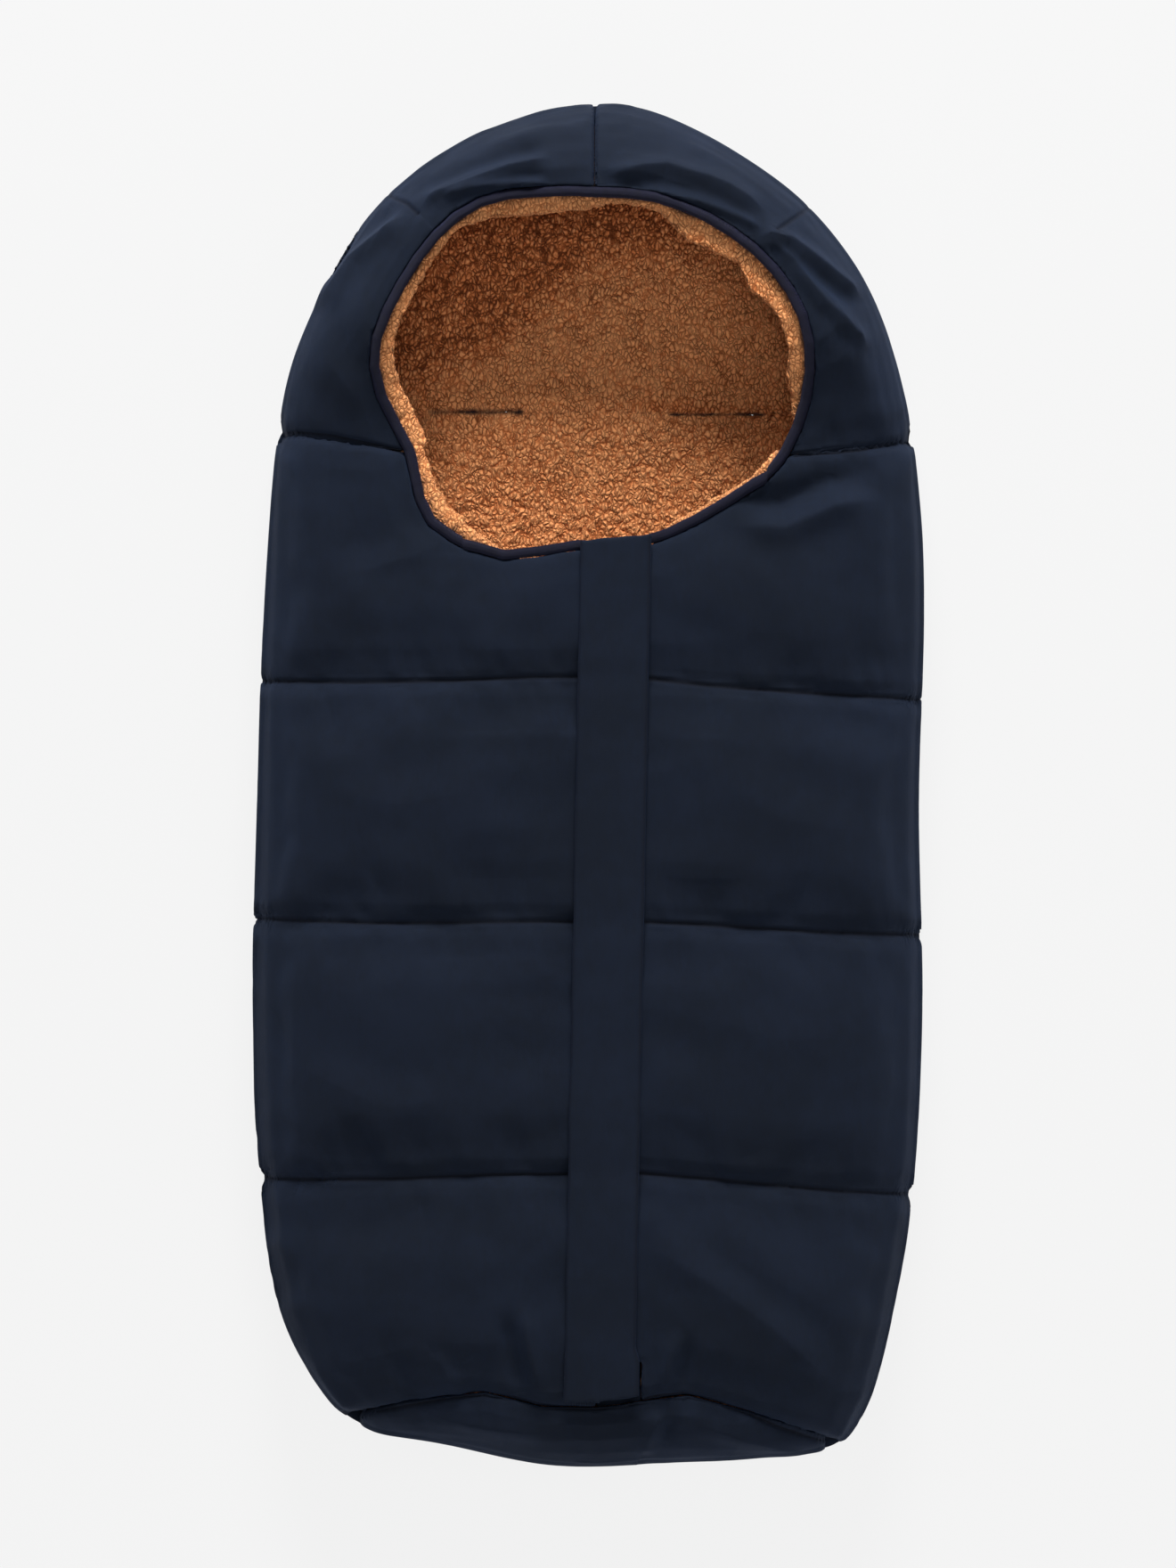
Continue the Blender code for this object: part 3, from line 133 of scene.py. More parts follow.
class Paint:
    """One procedural material, built node by node."""

    def __init__(self, name: str) -> None:
        """Makes an empty material.

        Args:
            name: The material's name.
        """
        self.material = bpy.data.materials.new(name)
        self.material.use_nodes = True
        self.tree = self.material.node_tree
        self.tree.nodes.clear()
        self.place = self.value("ShaderNodeTexCoord", {}, {}, "Object")

    def node(self, kind: str, settings: dict, sockets: dict) -> bpy.types.Node:
        """Adds a node.

        Args:
            kind: The node's type.
            settings: Its own properties, set first.
            sockets: Values or links for its inputs, by name or index.

        Returns:
            The new node.
        """
        node = self.tree.nodes.new(kind)
        for key, value in settings.items():
            setattr(node, key, value)
        for key, value in sockets.items():
            socket = node.inputs[key]
            if isinstance(value, Value):
                self.tree.links.new(value.socket, socket)
            elif isinstance(value, tuple) and len(value) == 3 and socket.type == "RGBA":
                socket.default_value = (*value, 1.0)
            else:
                socket.default_value = value
        return node

    def value(self, kind: str, settings: dict, sockets: dict, output: "str | int" = 0) -> Value:
        """Adds a node like node(), and gives one of its outputs."""
        return Value(self, self.node(kind, settings, sockets).outputs[output])

    def stretched(self, scale: tuple[float, float, float], turn: float = 0.0) -> Value:
        """Object coordinates scaled along their axes and turned about Z."""
        settings = {"vector_type": "POINT"}
        sockets = {"Vector": self.place, "Scale": scale, "Rotation": (0.0, 0.0, turn)}
        return self.value("ShaderNodeMapping", settings, sockets)

    def grain(self, scale: float, detail: float = 2.0, place: "Value | None" = None,
              swirl: float = 0.0) -> Value:
        """Noise from 0 to 1.

        Args:
            scale: Cells a metre.
            detail: Octaves.
            place: Coordinates, or None for plain object coordinates.
            swirl: Distortion.

        Returns:
            The noise value.
        """
        sockets = {"Vector": place or self.place, "Scale": scale, "Detail": detail, "Distortion": swirl}
        return self.value("ShaderNodeTexNoise", {}, sockets, "Fac")

    def cracks(self, scale: float, place: "Value | None" = None) -> Value:
        """Distance to the nearest edge between cells."""
        sockets = {"Vector": place or self.place, "Scale": scale}
        return self.value("ShaderNodeTexVoronoi", {"feature": "DISTANCE_TO_EDGE"}, sockets, "Distance")

    def swirled(self, scale: float, amount: float, stretch: tuple[float, float, float], turn: float) -> Value:
        """Object coordinates pushed about by noise, then scaled along their axes.

        Args:
            scale: Noise cells a metre.
            amount: Longest push in metres.
            stretch: Scale along each axis.
            turn: Angle about Z before that.

        Returns:
            The new coordinates.
        """
        sockets = {"Vector": self.place, "Scale": scale, "Detail": 2.0}
        blur = self.value("ShaderNodeTexNoise", {}, sockets, "Color")
        sockets = {0: blur, 1: (amount, amount, amount), 2: self.stretched(stretch, turn)}
        return self.value("ShaderNodeVectorMath", {"operation": "MULTIPLY_ADD"}, sockets)

    def ribs(self, scale: float, direction: str) -> Value:
        """Parallel ribs from 0 to 1."""
        settings = {"wave_type": "BANDS", "bands_direction": direction}
        return self.value("ShaderNodeTexWave", settings, {"Vector": self.place, "Scale": scale}, "Fac")

    def attribute(self, name: str) -> Value:
        """A number stored on the mesh's points."""
        return self.value("ShaderNodeAttribute", {"attribute_name": name}, {}, "Fac")

    def mixed(self, share: "Value | float", first: "Value | Colour", second: "Value | Colour") -> Value:
        """A colour between two colours."""
        settings = {"data_type": "RGBA", "clamp_factor": True}
        return self.value("ShaderNodeMix", settings, {0: share, 6: first, 7: second}, 2)

    def finish(self, colour: Value, roughness: "Value | float", relief: Value, relief_height: float,
               constants: dict) -> bpy.types.Material:
        """Closes the material with one surface shader.

        Args:
            colour: Base colour.
            roughness: Roughness.
            relief: Height from 0 to 1 for the bump.
            relief_height: The bump's height in metres.
            constants: Sockets that are the same all over.

        Returns:
            The finished material.
        """
        sockets = {"Strength": 1.0, "Distance": relief_height, "Height": relief}
        bump = self.value("ShaderNodeBump", {}, sockets)
        sockets = {"Base Color": colour, "Roughness": roughness, "Normal": bump, **constants}
        shader = self.node("ShaderNodeBsdfPrincipled", {}, sockets)
        output = self.node("ShaderNodeOutputMaterial", {}, {})
        self.tree.links.new(shader.outputs[0], output.inputs["Surface"])
        return self.material


# Finishes


@dataclass(frozen=True)
class Softshell:
    """Brushed navy softshell with painted shade that turns it nearly black in the seam grooves, bluer where it
    is lit from the side.
    """

    name: str = "navy_softshell_cloth"
    lit: Colour = (0.0060, 0.0098, 0.0203)
    dull: Colour = (0.0040, 0.0066, 0.0130)
    groove: Colour = (0.0025, 0.0034, 0.0068)
    sheen: Colour = (0.16, 0.34, 0.85)
    sheen_weight: float = 0.060
    thread_scale: float = 1500.0

    def make(self) -> bpy.types.Material:
        """Builds the material."""
        paint = Paint(self.name)
        clouds = paint.grain(14.0, 3.0)
        brushed = paint.grain(420.0, 3.0, paint.stretched((1.0, 0.35, 1.0)))
        fluff = paint.grain(95.0, 4.0)
        shade = (clouds * 0.6 + fluff * 0.25 + brushed * 0.35).spread(0.42, 0.78)
        base = paint.mixed(shade, self.dull, self.lit)
        # Painted shade: the cloth goes nearly black where the stored seam and flap-edge value is high.
        colour = paint.mixed(paint.attribute("groove"), base, self.groove)
        weave = paint.ribs(self.thread_scale, "X") * 0.25 + paint.ribs(self.thread_scale, "Y") * 0.25
        relief = weave + brushed * 0.6 + fluff * 0.5
        constants = {
            "Sheen Weight": self.sheen_weight, "Sheen Roughness": 0.45, "Sheen Tint": self.sheen,
            "Specular IOR Level": 0.12,
        }
        return paint.finish(colour, 0.80 + brushed * 0.12, relief, 0.00022, constants)


@dataclass(frozen=True)
class Teddy:
    """Curly teddy pile, with painted shade that makes it deep brown between the curls and painted highlights
    that make it golden on their tips.
    """

    name: str = "teddy_pile"
    deep: Colour = (0.130, 0.030, 0.007)
    middle: Colour = (0.690, 0.204, 0.060)
    tip: Colour = (0.960, 0.405, 0.158)
    backing: Colour = (0.006, 0.006, 0.011)
    curl: float = 620.0
    cell: float = 430.0

    def make(self) -> bpy.types.Material:
        """Builds the material."""
        paint = Paint(self.name)
        pile = paint.attribute("pile")
        swirl = paint.grain(self.curl, 3.0, None, 2.2)
        strands = paint.grain(1500.0, 3.0, paint.stretched((1.0, 0.45, 1.0), 0.6), 1.0)
        patches = paint.grain(26.0, 2.0)
        curls = paint.cracks(self.cell, paint.swirled(130.0, 0.0042, (1.0, 0.62, 1.0), 0.55))
        # Painted shade: the pile goes deep brown in the gaps between the curls, by a random share.
        gap_shade_share = paint.grain(90.0, 3.0).spread(0.3, 0.7) * 0.45 + 0.45
        gaps = curls.spread(0.0, 0.16)
        dome = curls.spread(0.0, 0.42)
        # Painted light: the colour follows the curls' height and the stored pile value, golden on the tops and
        # deep brown in the hollows.
        height = pile * 0.24 + swirl * 0.20 + strands * 0.30 + dome * 0.34
        low = paint.mixed(height.spread(0.08, 0.42), self.deep, self.middle)
        piled = paint.mixed((height + patches * 0.22 - 0.11).spread(0.28, 0.72), low, self.tip)
        worn_and_shaded = paint.mixed(1.0 - (1.0 - gaps) * gap_shade_share, self.deep, piled)
        # The dark backing colour also paints the shade in the harness slits.
        colour = paint.mixed(paint.attribute("backing"), worn_and_shaded, self.backing)
        constants = {
            "Sheen Weight": 0.18, "Sheen Roughness": 0.5, "Sheen Tint": (1.0, 0.62, 0.38),
            "Specular IOR Level": 0.1,
        }
        return paint.finish(colour, 0.9, swirl * 0.4 + strands * 0.5 + dome * 1.0, 0.0013, constants)


@dataclass(frozen=True)
class BoundTape:
    """Narrow navy binding tape with a fine rib and a slight satin."""

    name: str = "navy_binding_tape"
    colour: Colour = (0.0060, 0.0062, 0.0160)
    dark: Colour = (0.0030, 0.0030, 0.0075)

    def make(self) -> bpy.types.Material:
        """Builds the material."""
        paint = Paint(self.name)
        rib = paint.ribs(900.0, "DIAGONAL")
        fluff = paint.grain(180.0, 3.0)
        colour = paint.mixed((rib * 0.3 + fluff * 0.8).spread(0.25, 0.75), self.dark, self.colour)
        constants = {
            "Sheen Weight": 0.05, "Sheen Roughness": 0.4, "Sheen Tint": (0.3, 0.36, 0.9),
            "Specular IOR Level": 0.12,
        }
        return paint.finish(colour, 0.62 + fluff * 0.15, rib * 0.6 + fluff * 0.7, 0.0003, constants)


@dataclass(frozen=True)
class ZipTape:
    """Black woven herringbone zip tape."""

    name: str = "zip_tape_weave"
    colour: Colour = (0.012, 0.012, 0.014)
    worn_and_shaded: Colour = (0.024, 0.025, 0.029)

    def make(self) -> bpy.types.Material:
        """Builds the material."""
        paint = Paint(self.name)
        twill = paint.ribs(700.0, "DIAGONAL")
        fluff = paint.grain(240.0, 3.0)
        colour = paint.mixed((twill * 0.5 + fluff * 0.5).spread(0.3, 0.8), self.colour, self.worn_and_shaded)
        return paint.finish(colour, 0.75, twill, 0.00025, {"Sheen Weight": 0.1})


@dataclass(frozen=True)
class ZipPlastic:
    """Moulded black acetal of the zip's teeth and stops."""

    name: str = "zip_teeth_plastic"
    colour: Colour = (0.013, 0.013, 0.015)
    worn_and_shaded: Colour = (0.022, 0.022, 0.025)

    def make(self) -> bpy.types.Material:
        """Builds the material."""
        paint = Paint(self.name)
        haze = paint.grain(300.0, 3.0)
        colour = paint.mixed(haze.spread(0.35, 0.7), self.colour, self.worn_and_shaded)
        return paint.finish(colour, 0.34 + haze * 0.2, haze, 0.00008, {})


@dataclass(frozen=True)
class LacqueredMetal:
    """Gunmetal lacquer over cast metal, worn brighter where fingers hold it."""

    name: str = "zip_metal"
    colour: Colour = (0.16, 0.165, 0.18)
    worn_and_shaded: Colour = (0.42, 0.42, 0.44)

    def make(self) -> bpy.types.Material:
        """Builds the material."""
        paint = Paint(self.name)
        wear = paint.grain(160.0, 4.0).spread(0.52, 0.75)
        scratch = paint.grain(900.0, 2.0, paint.stretched((1.0, 0.12, 1.0)))
        colour = paint.mixed(wear * 0.8, self.colour, self.worn_and_shaded)
        return paint.finish(colour, 0.28 + scratch * 0.22, scratch, 0.00006, {"Metallic": 1.0})


# Shaping


def only(*things: bpy.types.Object) -> None:
    """Selects these objects and nothing else, the first of them active."""
    bpy.ops.object.select_all(action="DESELECT")
    for thing in things:
        thing.select_set(True)
    bpy.context.view_layer.objects.active = things[0]


def read(items: bpy.types.bpy_prop_collection, key: str) -> Points:
    """One vector of each point or face of a mesh."""
    flat = np.empty(len(items) * 3, np.float32)
    items.foreach_get(key, flat)
    return flat.reshape(-1, 3).astype(float)


def read_points(mesh: bpy.types.Mesh) -> Points:
    """The mesh's points as an array."""
    return read(mesh.vertices, "co")


def read_normals(mesh: bpy.types.Mesh) -> Points:
    """The mesh's point normals as an array."""
    return read(mesh.vertices, "normal")


def read_edges(mesh: bpy.types.Mesh) -> Points:
    """The two ends of each edge, one row for the first ends and one for the second."""
    ends = np.empty(len(mesh.edges) * 2, np.int32)
    mesh.edges.foreach_get("vertices", ends)
    return ends.reshape(-1, 2).T


def write_points(mesh: bpy.types.Mesh, points: Points) -> None:
    """Moves the mesh's points."""
    mesh.vertices.foreach_set("co", points.astype(np.float32).ravel())
    mesh.update()


def store(mesh: bpy.types.Mesh, name: str, values: Points) -> None:
    """Keeps a number for each point of the mesh, for its material."""
    layer = mesh.attributes.get(name) or mesh.attributes.new(name, "FLOAT", "POINT")
    layer.data.foreach_set("value", values.astype(np.float32))


def eased(value: Points) -> Points:
    """A smooth passage from 0 to 1."""
    share = np.clip(value, 0, 1)
    return share * share * (3 - 2 * share)


class Line:
    """A line across the muff seen from above, such as a seam or the crest of a fold."""

    def __init__(self, *corners: tuple[float, float]) -> None:
        """Makes a line through points in millimetres."""
        self.points = np.array(corners, float) * MM

    def measure(self, places: Points) -> tuple[Points, Points, Points]:
        """Where places lie along and beside the line.

        Args:
            places: Points, of which x and y count.

        Returns:
            Distance to the line, length along it, and distance signed by its side.
        """
        best = np.full(len(places), np.inf)
        along = np.zeros(len(places))
        signed = np.zeros(len(places))
        run = 0.0
        for start, end in zip(self.points[:-1], self.points[1:]):
            step = end - start
            length = float(np.hypot(*step))
            share = np.clip(((places[:, :2] - start) @ step) / length**2, 0, 1)
            away = places[:, :2] - start - share[:, None] * step
            far = np.hypot(away[:, 0], away[:, 1])
            side = np.sign(step[0] * away[:, 1] - step[1] * away[:, 0])
            nearer = far < best
            best = np.where(nearer, far, best)
            along = np.where(nearer, run + share * length, along)
            signed = np.where(nearer, far * side, signed)
            run += length
        return best, along, signed

    @property
    def length(self) -> float:
        """The line's length."""
        steps = np.diff(self.points, axis=0)
        return float(np.hypot(steps[:, 0], steps[:, 1]).sum())


@dataclass(frozen=True)
class Fold:
    """A soft fold: a rounded crest with a hollow beside it, its sizes in millimetres."""

    line: Line
    rise: float
    width: float
    hollow: float = 0.0
    hollow_side: int = 1

    def height(self, places: Points) -> Points:
        """How far the fold lifts the cloth at each place."""
        width = self.width * MM
        far, along, signed = self.line.measure(places)
        ends = eased(along / (width * 3)) * eased((self.line.length - along) / (width * 3))
        crest = 0.5 * np.exp(-((far / width) ** 2)) + 0.5 * np.exp(-1.3 * far / width)
        dip = np.exp(-(((signed * self.hollow_side - width * 1.5) / width) ** 2))
        within = ends if self.line.length > width * 6 else np.maximum(ends, 0.6)
        return within * (self.rise * MM * crest - self.hollow * MM * dip)


def waves(places: Points, scale: float, seed: float,
          stretch: tuple[float, float, float] = (1, 1, 1)) -> Points:
    """Smooth noise of about -1 to 1 at places.

    Args:
        places: Points in metres.
        scale: Length of a wave in metres.
        seed: Offset that makes each use differ.
        stretch: Scale along each axis, more for shorter waves.

    Returns:
        A value for each place.
    """
    shifted = places / scale * np.array(stretch) + seed
    return np.array([noise.noise(Vector(place)) for place in shifted])


def along_line(along: Points, beside: "Points | float" = 0.0, above: float = 0.0) -> Points:
    """Places for noise that runs along a line instead of through space."""
    return np.stack(np.broadcast_arrays(along, beside, above), 1)


class Seams:
    """The seams that hold the padding down, seen from above, and the cloth's behaviour near them."""

    quilting = (
        Line(
            (-200, 61), (-138, 60), (-78, 61), (-33, 63), (28, 63), (72, 58), (123, 54), (160, 52), (201, 50),
        ),
        Line((-200, -80), (-123, -82), (-33, -81), (27, -81), (71, -83), (131, -87), (201, -90)),
        Line((-200, -234), (-124, -233), (-54, -230), (28, -229), (77, -233), (147, -240), (201, -244)),
    )
    shoulders = (Line((-190, 210), (-150, 205), (-109, 196)), Line((122, 194), (160, 197), (196, 204)))
    foot = (
        Line(
            (-148, -373), (-124, -370), (-103, -366), (-83, -362), (-62, -360), (-44, -362), (-29, -366),
            (-14, -368),
        ),
        Line(
            (-14, -368), (7, -368), (30, -364), (42, -361), (56, -360), (72, -363), (95, -371), (112, -379),
            (153, -394),
        ),
    )
    crown = (Line((3.8, 404), (3.8, 350)),)
    darts = (Line((-121, 350), (-107, 342), (-100, 335)), Line((132, 342), (125, 336), (111, 325)))

    @classmethod
    def all(cls) -> tuple[Line, ...]:
        """Every seam of the outer shell."""
        return (*cls.quilting, *cls.shoulders, *cls.foot, *cls.crown, *cls.darts)

    @classmethod
    def ending(cls) -> tuple[Line, ...]:
        """The seams that run out at the muff's sides."""
        return (*cls.quilting, *cls.shoulders)

    @classmethod
    def nearest(cls, places: Points) -> Points:
        """Distance of each place to its nearest seam."""
        return np.min([line.measure(places)[0] for line in cls.all()], axis=0)

    @classmethod
    def notch(cls, places: Points, width: float) -> Points:
        """1 at the seams that run out at the sides, fading to 0 over a width."""
        return np.max([np.exp(-((line.measure(places)[0] / width) ** 2)) for line in cls.ending()], axis=0)


class Opening:
    """The face opening, seen from above, along the inner edge of its binding."""

    centre = (1.5, 243.0)
    half = (126.0, 104.0)
    shares = (
        (0.03, 0.972), (0.30, 0.943), (0.57, 0.81), (0.80, 0.60), (0.95, 0.34), (1.0, 0.06),
        (0.96, -0.25), (0.84, -0.52), (0.62, -0.715), (0.36, -0.885), (0.12, -0.965), (-0.12, -0.955),
        (-0.36, -1.015), (-0.58, -0.945), (-0.75, -0.79), (-0.83, -0.42), (-0.95, -0.15), (-0.985, 0.12),
        (-0.88, 0.43), (-0.69, 0.76), (-0.48, 0.935), (-0.20, 0.975), (0.03, 0.972),
    )
    edge = Line(*(np.array(centre) + np.array(half) * np.array(shares)))

    @classmethod
    def beyond(cls, places: Points) -> Points:
        """How far places lie outside the opening, less than zero within it."""
        return cls.edge.measure(places)[2]

    @classmethod
    def rolled(cls, places: Points, widths: "tuple[tuple[float, float], ...]", seed: float) -> Points:
        """Draws the lining's rim into the opening with an uneven edge.

        Args:
            places: Points of the lining.
            widths: How far the rim rolls in, in millimetres, at angles in degrees counted from the right.
            seed: Offset of the edge's unevenness.

        Returns:
            The moved points.
        """
        far, along, signed = cls.edge.measure(places)
        middle = np.array(cls.centre) * MM
        away = places[:, :2] - middle
        angle = np.degrees(np.arctan2(away[:, 1], away[:, 0])) % 360
        reach = np.interp(angle, [entry[0] for entry in widths], [entry[1] for entry in widths]) * MM
        rough = along_line(along)
        uneven = 1.8 * MM * waves(rough, 0.022, seed) + 0.9 * MM * waves(rough, 0.006, seed + 4)
        near = eased(1 - far / (24 * MM))
        reach = reach / 0.75 + np.where(reach != 0, uneven, 0)
        moved = places.copy()
        length = np.maximum(np.hypot(away[:, 0], away[:, 1]), 1e-6)
        moved[:, :2] -= away / length[:, None] * (near * reach)[:, None]
        return moved


class Outline:
    """The muff's smooth outline seen from above, which its solids follow in straight runs."""

    half = (200.0 * MM, 405 * MM)
    shares = (
        (0.03, 0.998), (0.32, 0.96), (0.63, 0.857), (0.83, 0.73), (0.937, 0.58), (0.988, 0.41),
        (1.0, 0.24), (0.985, -0.03), (0.995, -0.33), (0.967, -0.60), (0.908, -0.775), (0.845, -0.895),
        (0.765, -0.962), (0.62, -0.984), (0.25, -0.996), (-0.1, -1.0), (-0.45, -0.966), (-0.665, -0.944),
        (-0.80, -0.885), (-0.93, -0.75), (-0.985, -0.53), (-1.0, -0.33), (-0.985, -0.02), (-0.962, 0.28),
        (-0.915, 0.54), (-0.82, 0.69), (-0.645, 0.838), (-0.33, 0.953),
    )
    steps = 10
    rays = 720
    most = 2.5 * MM

    @classmethod
    def curve(cls) -> Points:
        """Points along the smooth outline."""
        corners = np.array(cls.shares) * np.array(cls.half)
        before, after, beyond = np.roll(corners, 1, 0), np.roll(corners, -1, 0), np.roll(corners, -2, 0)
        made = []
        for share in np.arange(cls.steps) / cls.steps:
            square = 2 * before - 5 * corners + 4 * after - beyond
            cube = 3 * corners - before - 3 * after + beyond
            made.append(corners + ((after - before) * share + square * share**2 + cube * share**3) / 2)
        return np.stack(made, 1).reshape(-1, 2)

    @classmethod
    def reach(cls, starts: Points, ends: Points) -> Points:
        """How far straight pieces reach from the middle, in each direction.

        Args:
            starts: One end of each piece in plan.
            ends: The other end.

        Returns:
            The farthest crossing of each ray, or 0 where nothing is crossed.
        """
        steps = ends - starts
        far = np.zeros(cls.rays)
        for index in range(cls.rays):
            angle = 2 * math.pi * index / cls.rays
            x, y = math.cos(angle), math.sin(angle)
            across = x * steps[:, 1] - y * steps[:, 0]
            share = -(x * starts[:, 1] - y * starts[:, 0]) / np.where(np.abs(across) < 1e-12, 1e-12, across)
            length = x * (starts[:, 0] + share * steps[:, 0]) + y * (starts[:, 1] + share * steps[:, 1])
            far[index] = np.max(np.where((share >= 0) & (share <= 1), length, 0.0), initial=0.0)
        return far

    @classmethod
    def rim(cls) -> Points:
        """How far the smooth curve reaches from the middle, in each direction."""
        curve = cls.curve()
        return cls.reach(curve, np.roll(curve, -1, 0))

    @classmethod
    def polar(cls, places: Points) -> tuple[Points, Points]:
        """Distance from the middle and direction, counted in rays."""
        angle = np.arctan2(places[:, 1], places[:, 0]) % (2 * math.pi) / (2 * math.pi)
        return np.hypot(places[:, 0], places[:, 1]), angle * cls.rays

    @classmethod
    def around(cls, values: Points, angle: Points) -> Points:
        """Values kept for each ray, read between the rays."""
        return np.interp(angle, np.arange(cls.rays + 1), np.append(values, values[0]))

    @classmethod
    def smoothed(cls, places: Points, nodes: list[str]) -> Points:
        """Moves points near the outline from the solids' straight runs out to the smooth curve.

        Args:
            places: The points.
            nodes: The solids that they were copied from.

        Returns:
            The moved points.
        """
        wanted = cls.rim()
        starts, ends = [], []
        for node in nodes:
            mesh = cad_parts[node].data
            points = read_points(mesh)[:, :2]
            radii, angles = cls.polar(points)
            outer = radii > wanted[angles.astype(int) % cls.rays] - 12 * MM
            first, second = read_edges(mesh)
            kept = outer[first] & outer[second]
            starts.append(points[first[kept]])
            ends.append(points[second[kept]])
        actual = cls.reach(np.concatenate(starts), np.concatenate(ends))
        gain = np.where(actual > wanted - 2 * cls.most, np.clip(wanted - actual, -cls.most, cls.most), 0.0)
        radius, angle = cls.polar(places)
        push, edge = cls.around(gain, angle), cls.around(wanted, angle)
        near = eased(1 - (edge - radius) / (35 * MM))
        moved = places.copy()
        moved[:, :2] *= (1 + push * near / np.maximum(radius, 1e-6))[:, None]
        return moved

    @classmethod
    def trimmed(cls, places: Points, inset: float) -> Points:
        """Evens out a rim, so that no small steps show on the outline.

        Args:
            places: The points.
            inset: How far inside the smooth curve the rim ends.

        Returns:
            The moved points.
        """
        radius, angle = cls.polar(places)
        edge = cls.around(cls.rim(), angle)
        depth = edge - radius - inset
        kept = depth * eased((depth - 0.9 * MM) / (2.4 * MM))
        moved = places.copy()
        moved[:, :2] *= ((edge - inset - kept) / np.maximum(radius, 1e-6))[:, None]
        return moved


def facing_out(places: Points, normals: Points) -> Points:
    """1 on the muff's outside and 0 on the side towards the baby, with an eased step at the edges."""
    spine = np.clip(places[:, 1], *SPINE)
    middle = np.stack([places[:, 0] * 0.5, spine, np.full(len(places), SPINE_HEIGHT)], 1)
    out = places - middle
    out /= np.linalg.norm(out, axis=1)[:, None]
    return eased((np.einsum("ij,ij->i", out, normals) - 0.05) / 0.3)


def copied(name: str, nodes: list[str], overlap: "dict | None" = None) -> bpy.types.Object:
    """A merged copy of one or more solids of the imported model.

    Args:
        name: The new piece's name.
        nodes: The solids.
        overlap: Shifts in metres that make a solid reach into its neighbour, by node.

    Returns:
        The new object.
    """
    parts = []
    for node in nodes:
        part = bpy.data.objects.new(name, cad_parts[node].data.copy())
        part.data.materials.clear()
        bpy.context.scene.collection.objects.link(part)
        if overlap and node in overlap:
            write_points(part.data, overlap[node](read_points(part.data)))
        only(part)
        bpy.ops.object.mode_set(mode="EDIT")
        bpy.ops.mesh.select_all(action="SELECT")
        bpy.ops.mesh.remove_doubles(threshold=0.02 * MM)
        bpy.ops.object.mode_set(mode="OBJECT")
        parts.append(part)
    only(*parts)
    if len(parts) > 1:
        bpy.ops.object.join()
    made = bpy.context.view_layer.objects.active
    made.name = name
    made.data.name = name
    return made


def evened(thing: bpy.types.Object, rounds: int, group: str = "") -> None:
    """Smooths a piece, or only one group of its points."""
    only(thing)
    change = thing.modifiers.new("smoothing", "SMOOTH")
    change.vertex_group = group
    change.factor = 0.5
    change.iterations = rounds
    bpy.ops.object.modifier_apply(modifier=change.name)


def remeshed(thing: bpy.types.Object, voxel: float, smooth: int = 2) -> None:
    """Gives a piece an even mesh and rounds its cut edges.

    Args:
        thing: The piece.
        voxel: Edge length of the new faces.
        smooth: Rounds of smoothing.
    """
    only(thing)
    thing.data.remesh_voxel_size = voxel
    thing.data.remesh_voxel_adaptivity = 0
    bpy.ops.object.voxel_remesh()
    evened(thing, smooth)


def rounded(thing: bpy.types.Object, soft: Points, rounds: int) -> None:
    """Rounds one region of a piece.

    Args:
        thing: The piece.
        soft: True for the points of the region.
        rounds: Rounds of smoothing.
    """
    group = thing.vertex_groups.new(name="soft")
    group.add([int(index) for index in np.flatnonzero(soft)], 1.0, "REPLACE")
    evened(thing, rounds, group.name)
    thing.vertex_groups.clear()


def refined(thing: bpy.types.Object, where: "callable", cuts: int = 1) -> None:
    """Splits the faces of one region.

    Args:
        thing: The piece.
        where: Function from face centres and normals to a mask of the faces to split.
        cuts: Cuts in each edge.
    """
    mesh = thing.data
    mask = where(read(mesh.polygons, "center"), read(mesh.polygons, "normal"))
    only(thing)
    bpy.ops.object.mode_set(mode="EDIT")
    bpy.ops.mesh.select_mode(type="FACE")
    bpy.ops.mesh.select_all(action="DESELECT")
    bpy.ops.object.mode_set(mode="OBJECT")
    mesh.polygons.foreach_set("select", mask)
    bpy.ops.object.mode_set(mode="EDIT")
    bpy.ops.mesh.subdivide(number_cuts=cuts, smoothness=0.0)
    bpy.ops.object.mode_set(mode="OBJECT")


def relaxed(mesh: bpy.types.Mesh, moves: Points, pinned: Points, rounds: int) -> Points:
    """Evens out how far neighbouring points move.

    Args:
        mesh: The mesh.
        moves: A move for each point.
        pinned: True where a point stays where it is.
        rounds: Rounds of averaging.

    Returns:
        The evened moves.
    """
    first, second = read_edges(mesh)
    count = len(moves)
    links = np.maximum(np.bincount(first, minlength=count) + np.bincount(second, minlength=count), 1)[:, None]
    for _ in range(rounds):
        total = [
            np.bincount(first, moves[second, axis], count) + np.bincount(second, moves[first, axis], count)
            for axis in range(3)
        ]
        moves = (moves + np.stack(total, 1) / links) / 2
        moves[pinned] = 0
    return moves


CLOTH = {
    "quality": 4, "mass": 0.25, "tension_stiffness": 12, "compression_stiffness": 10, "shear_stiffness": 5,
    "bending_stiffness": 0.08, "air_damping": 3, "use_pressure": True,
}


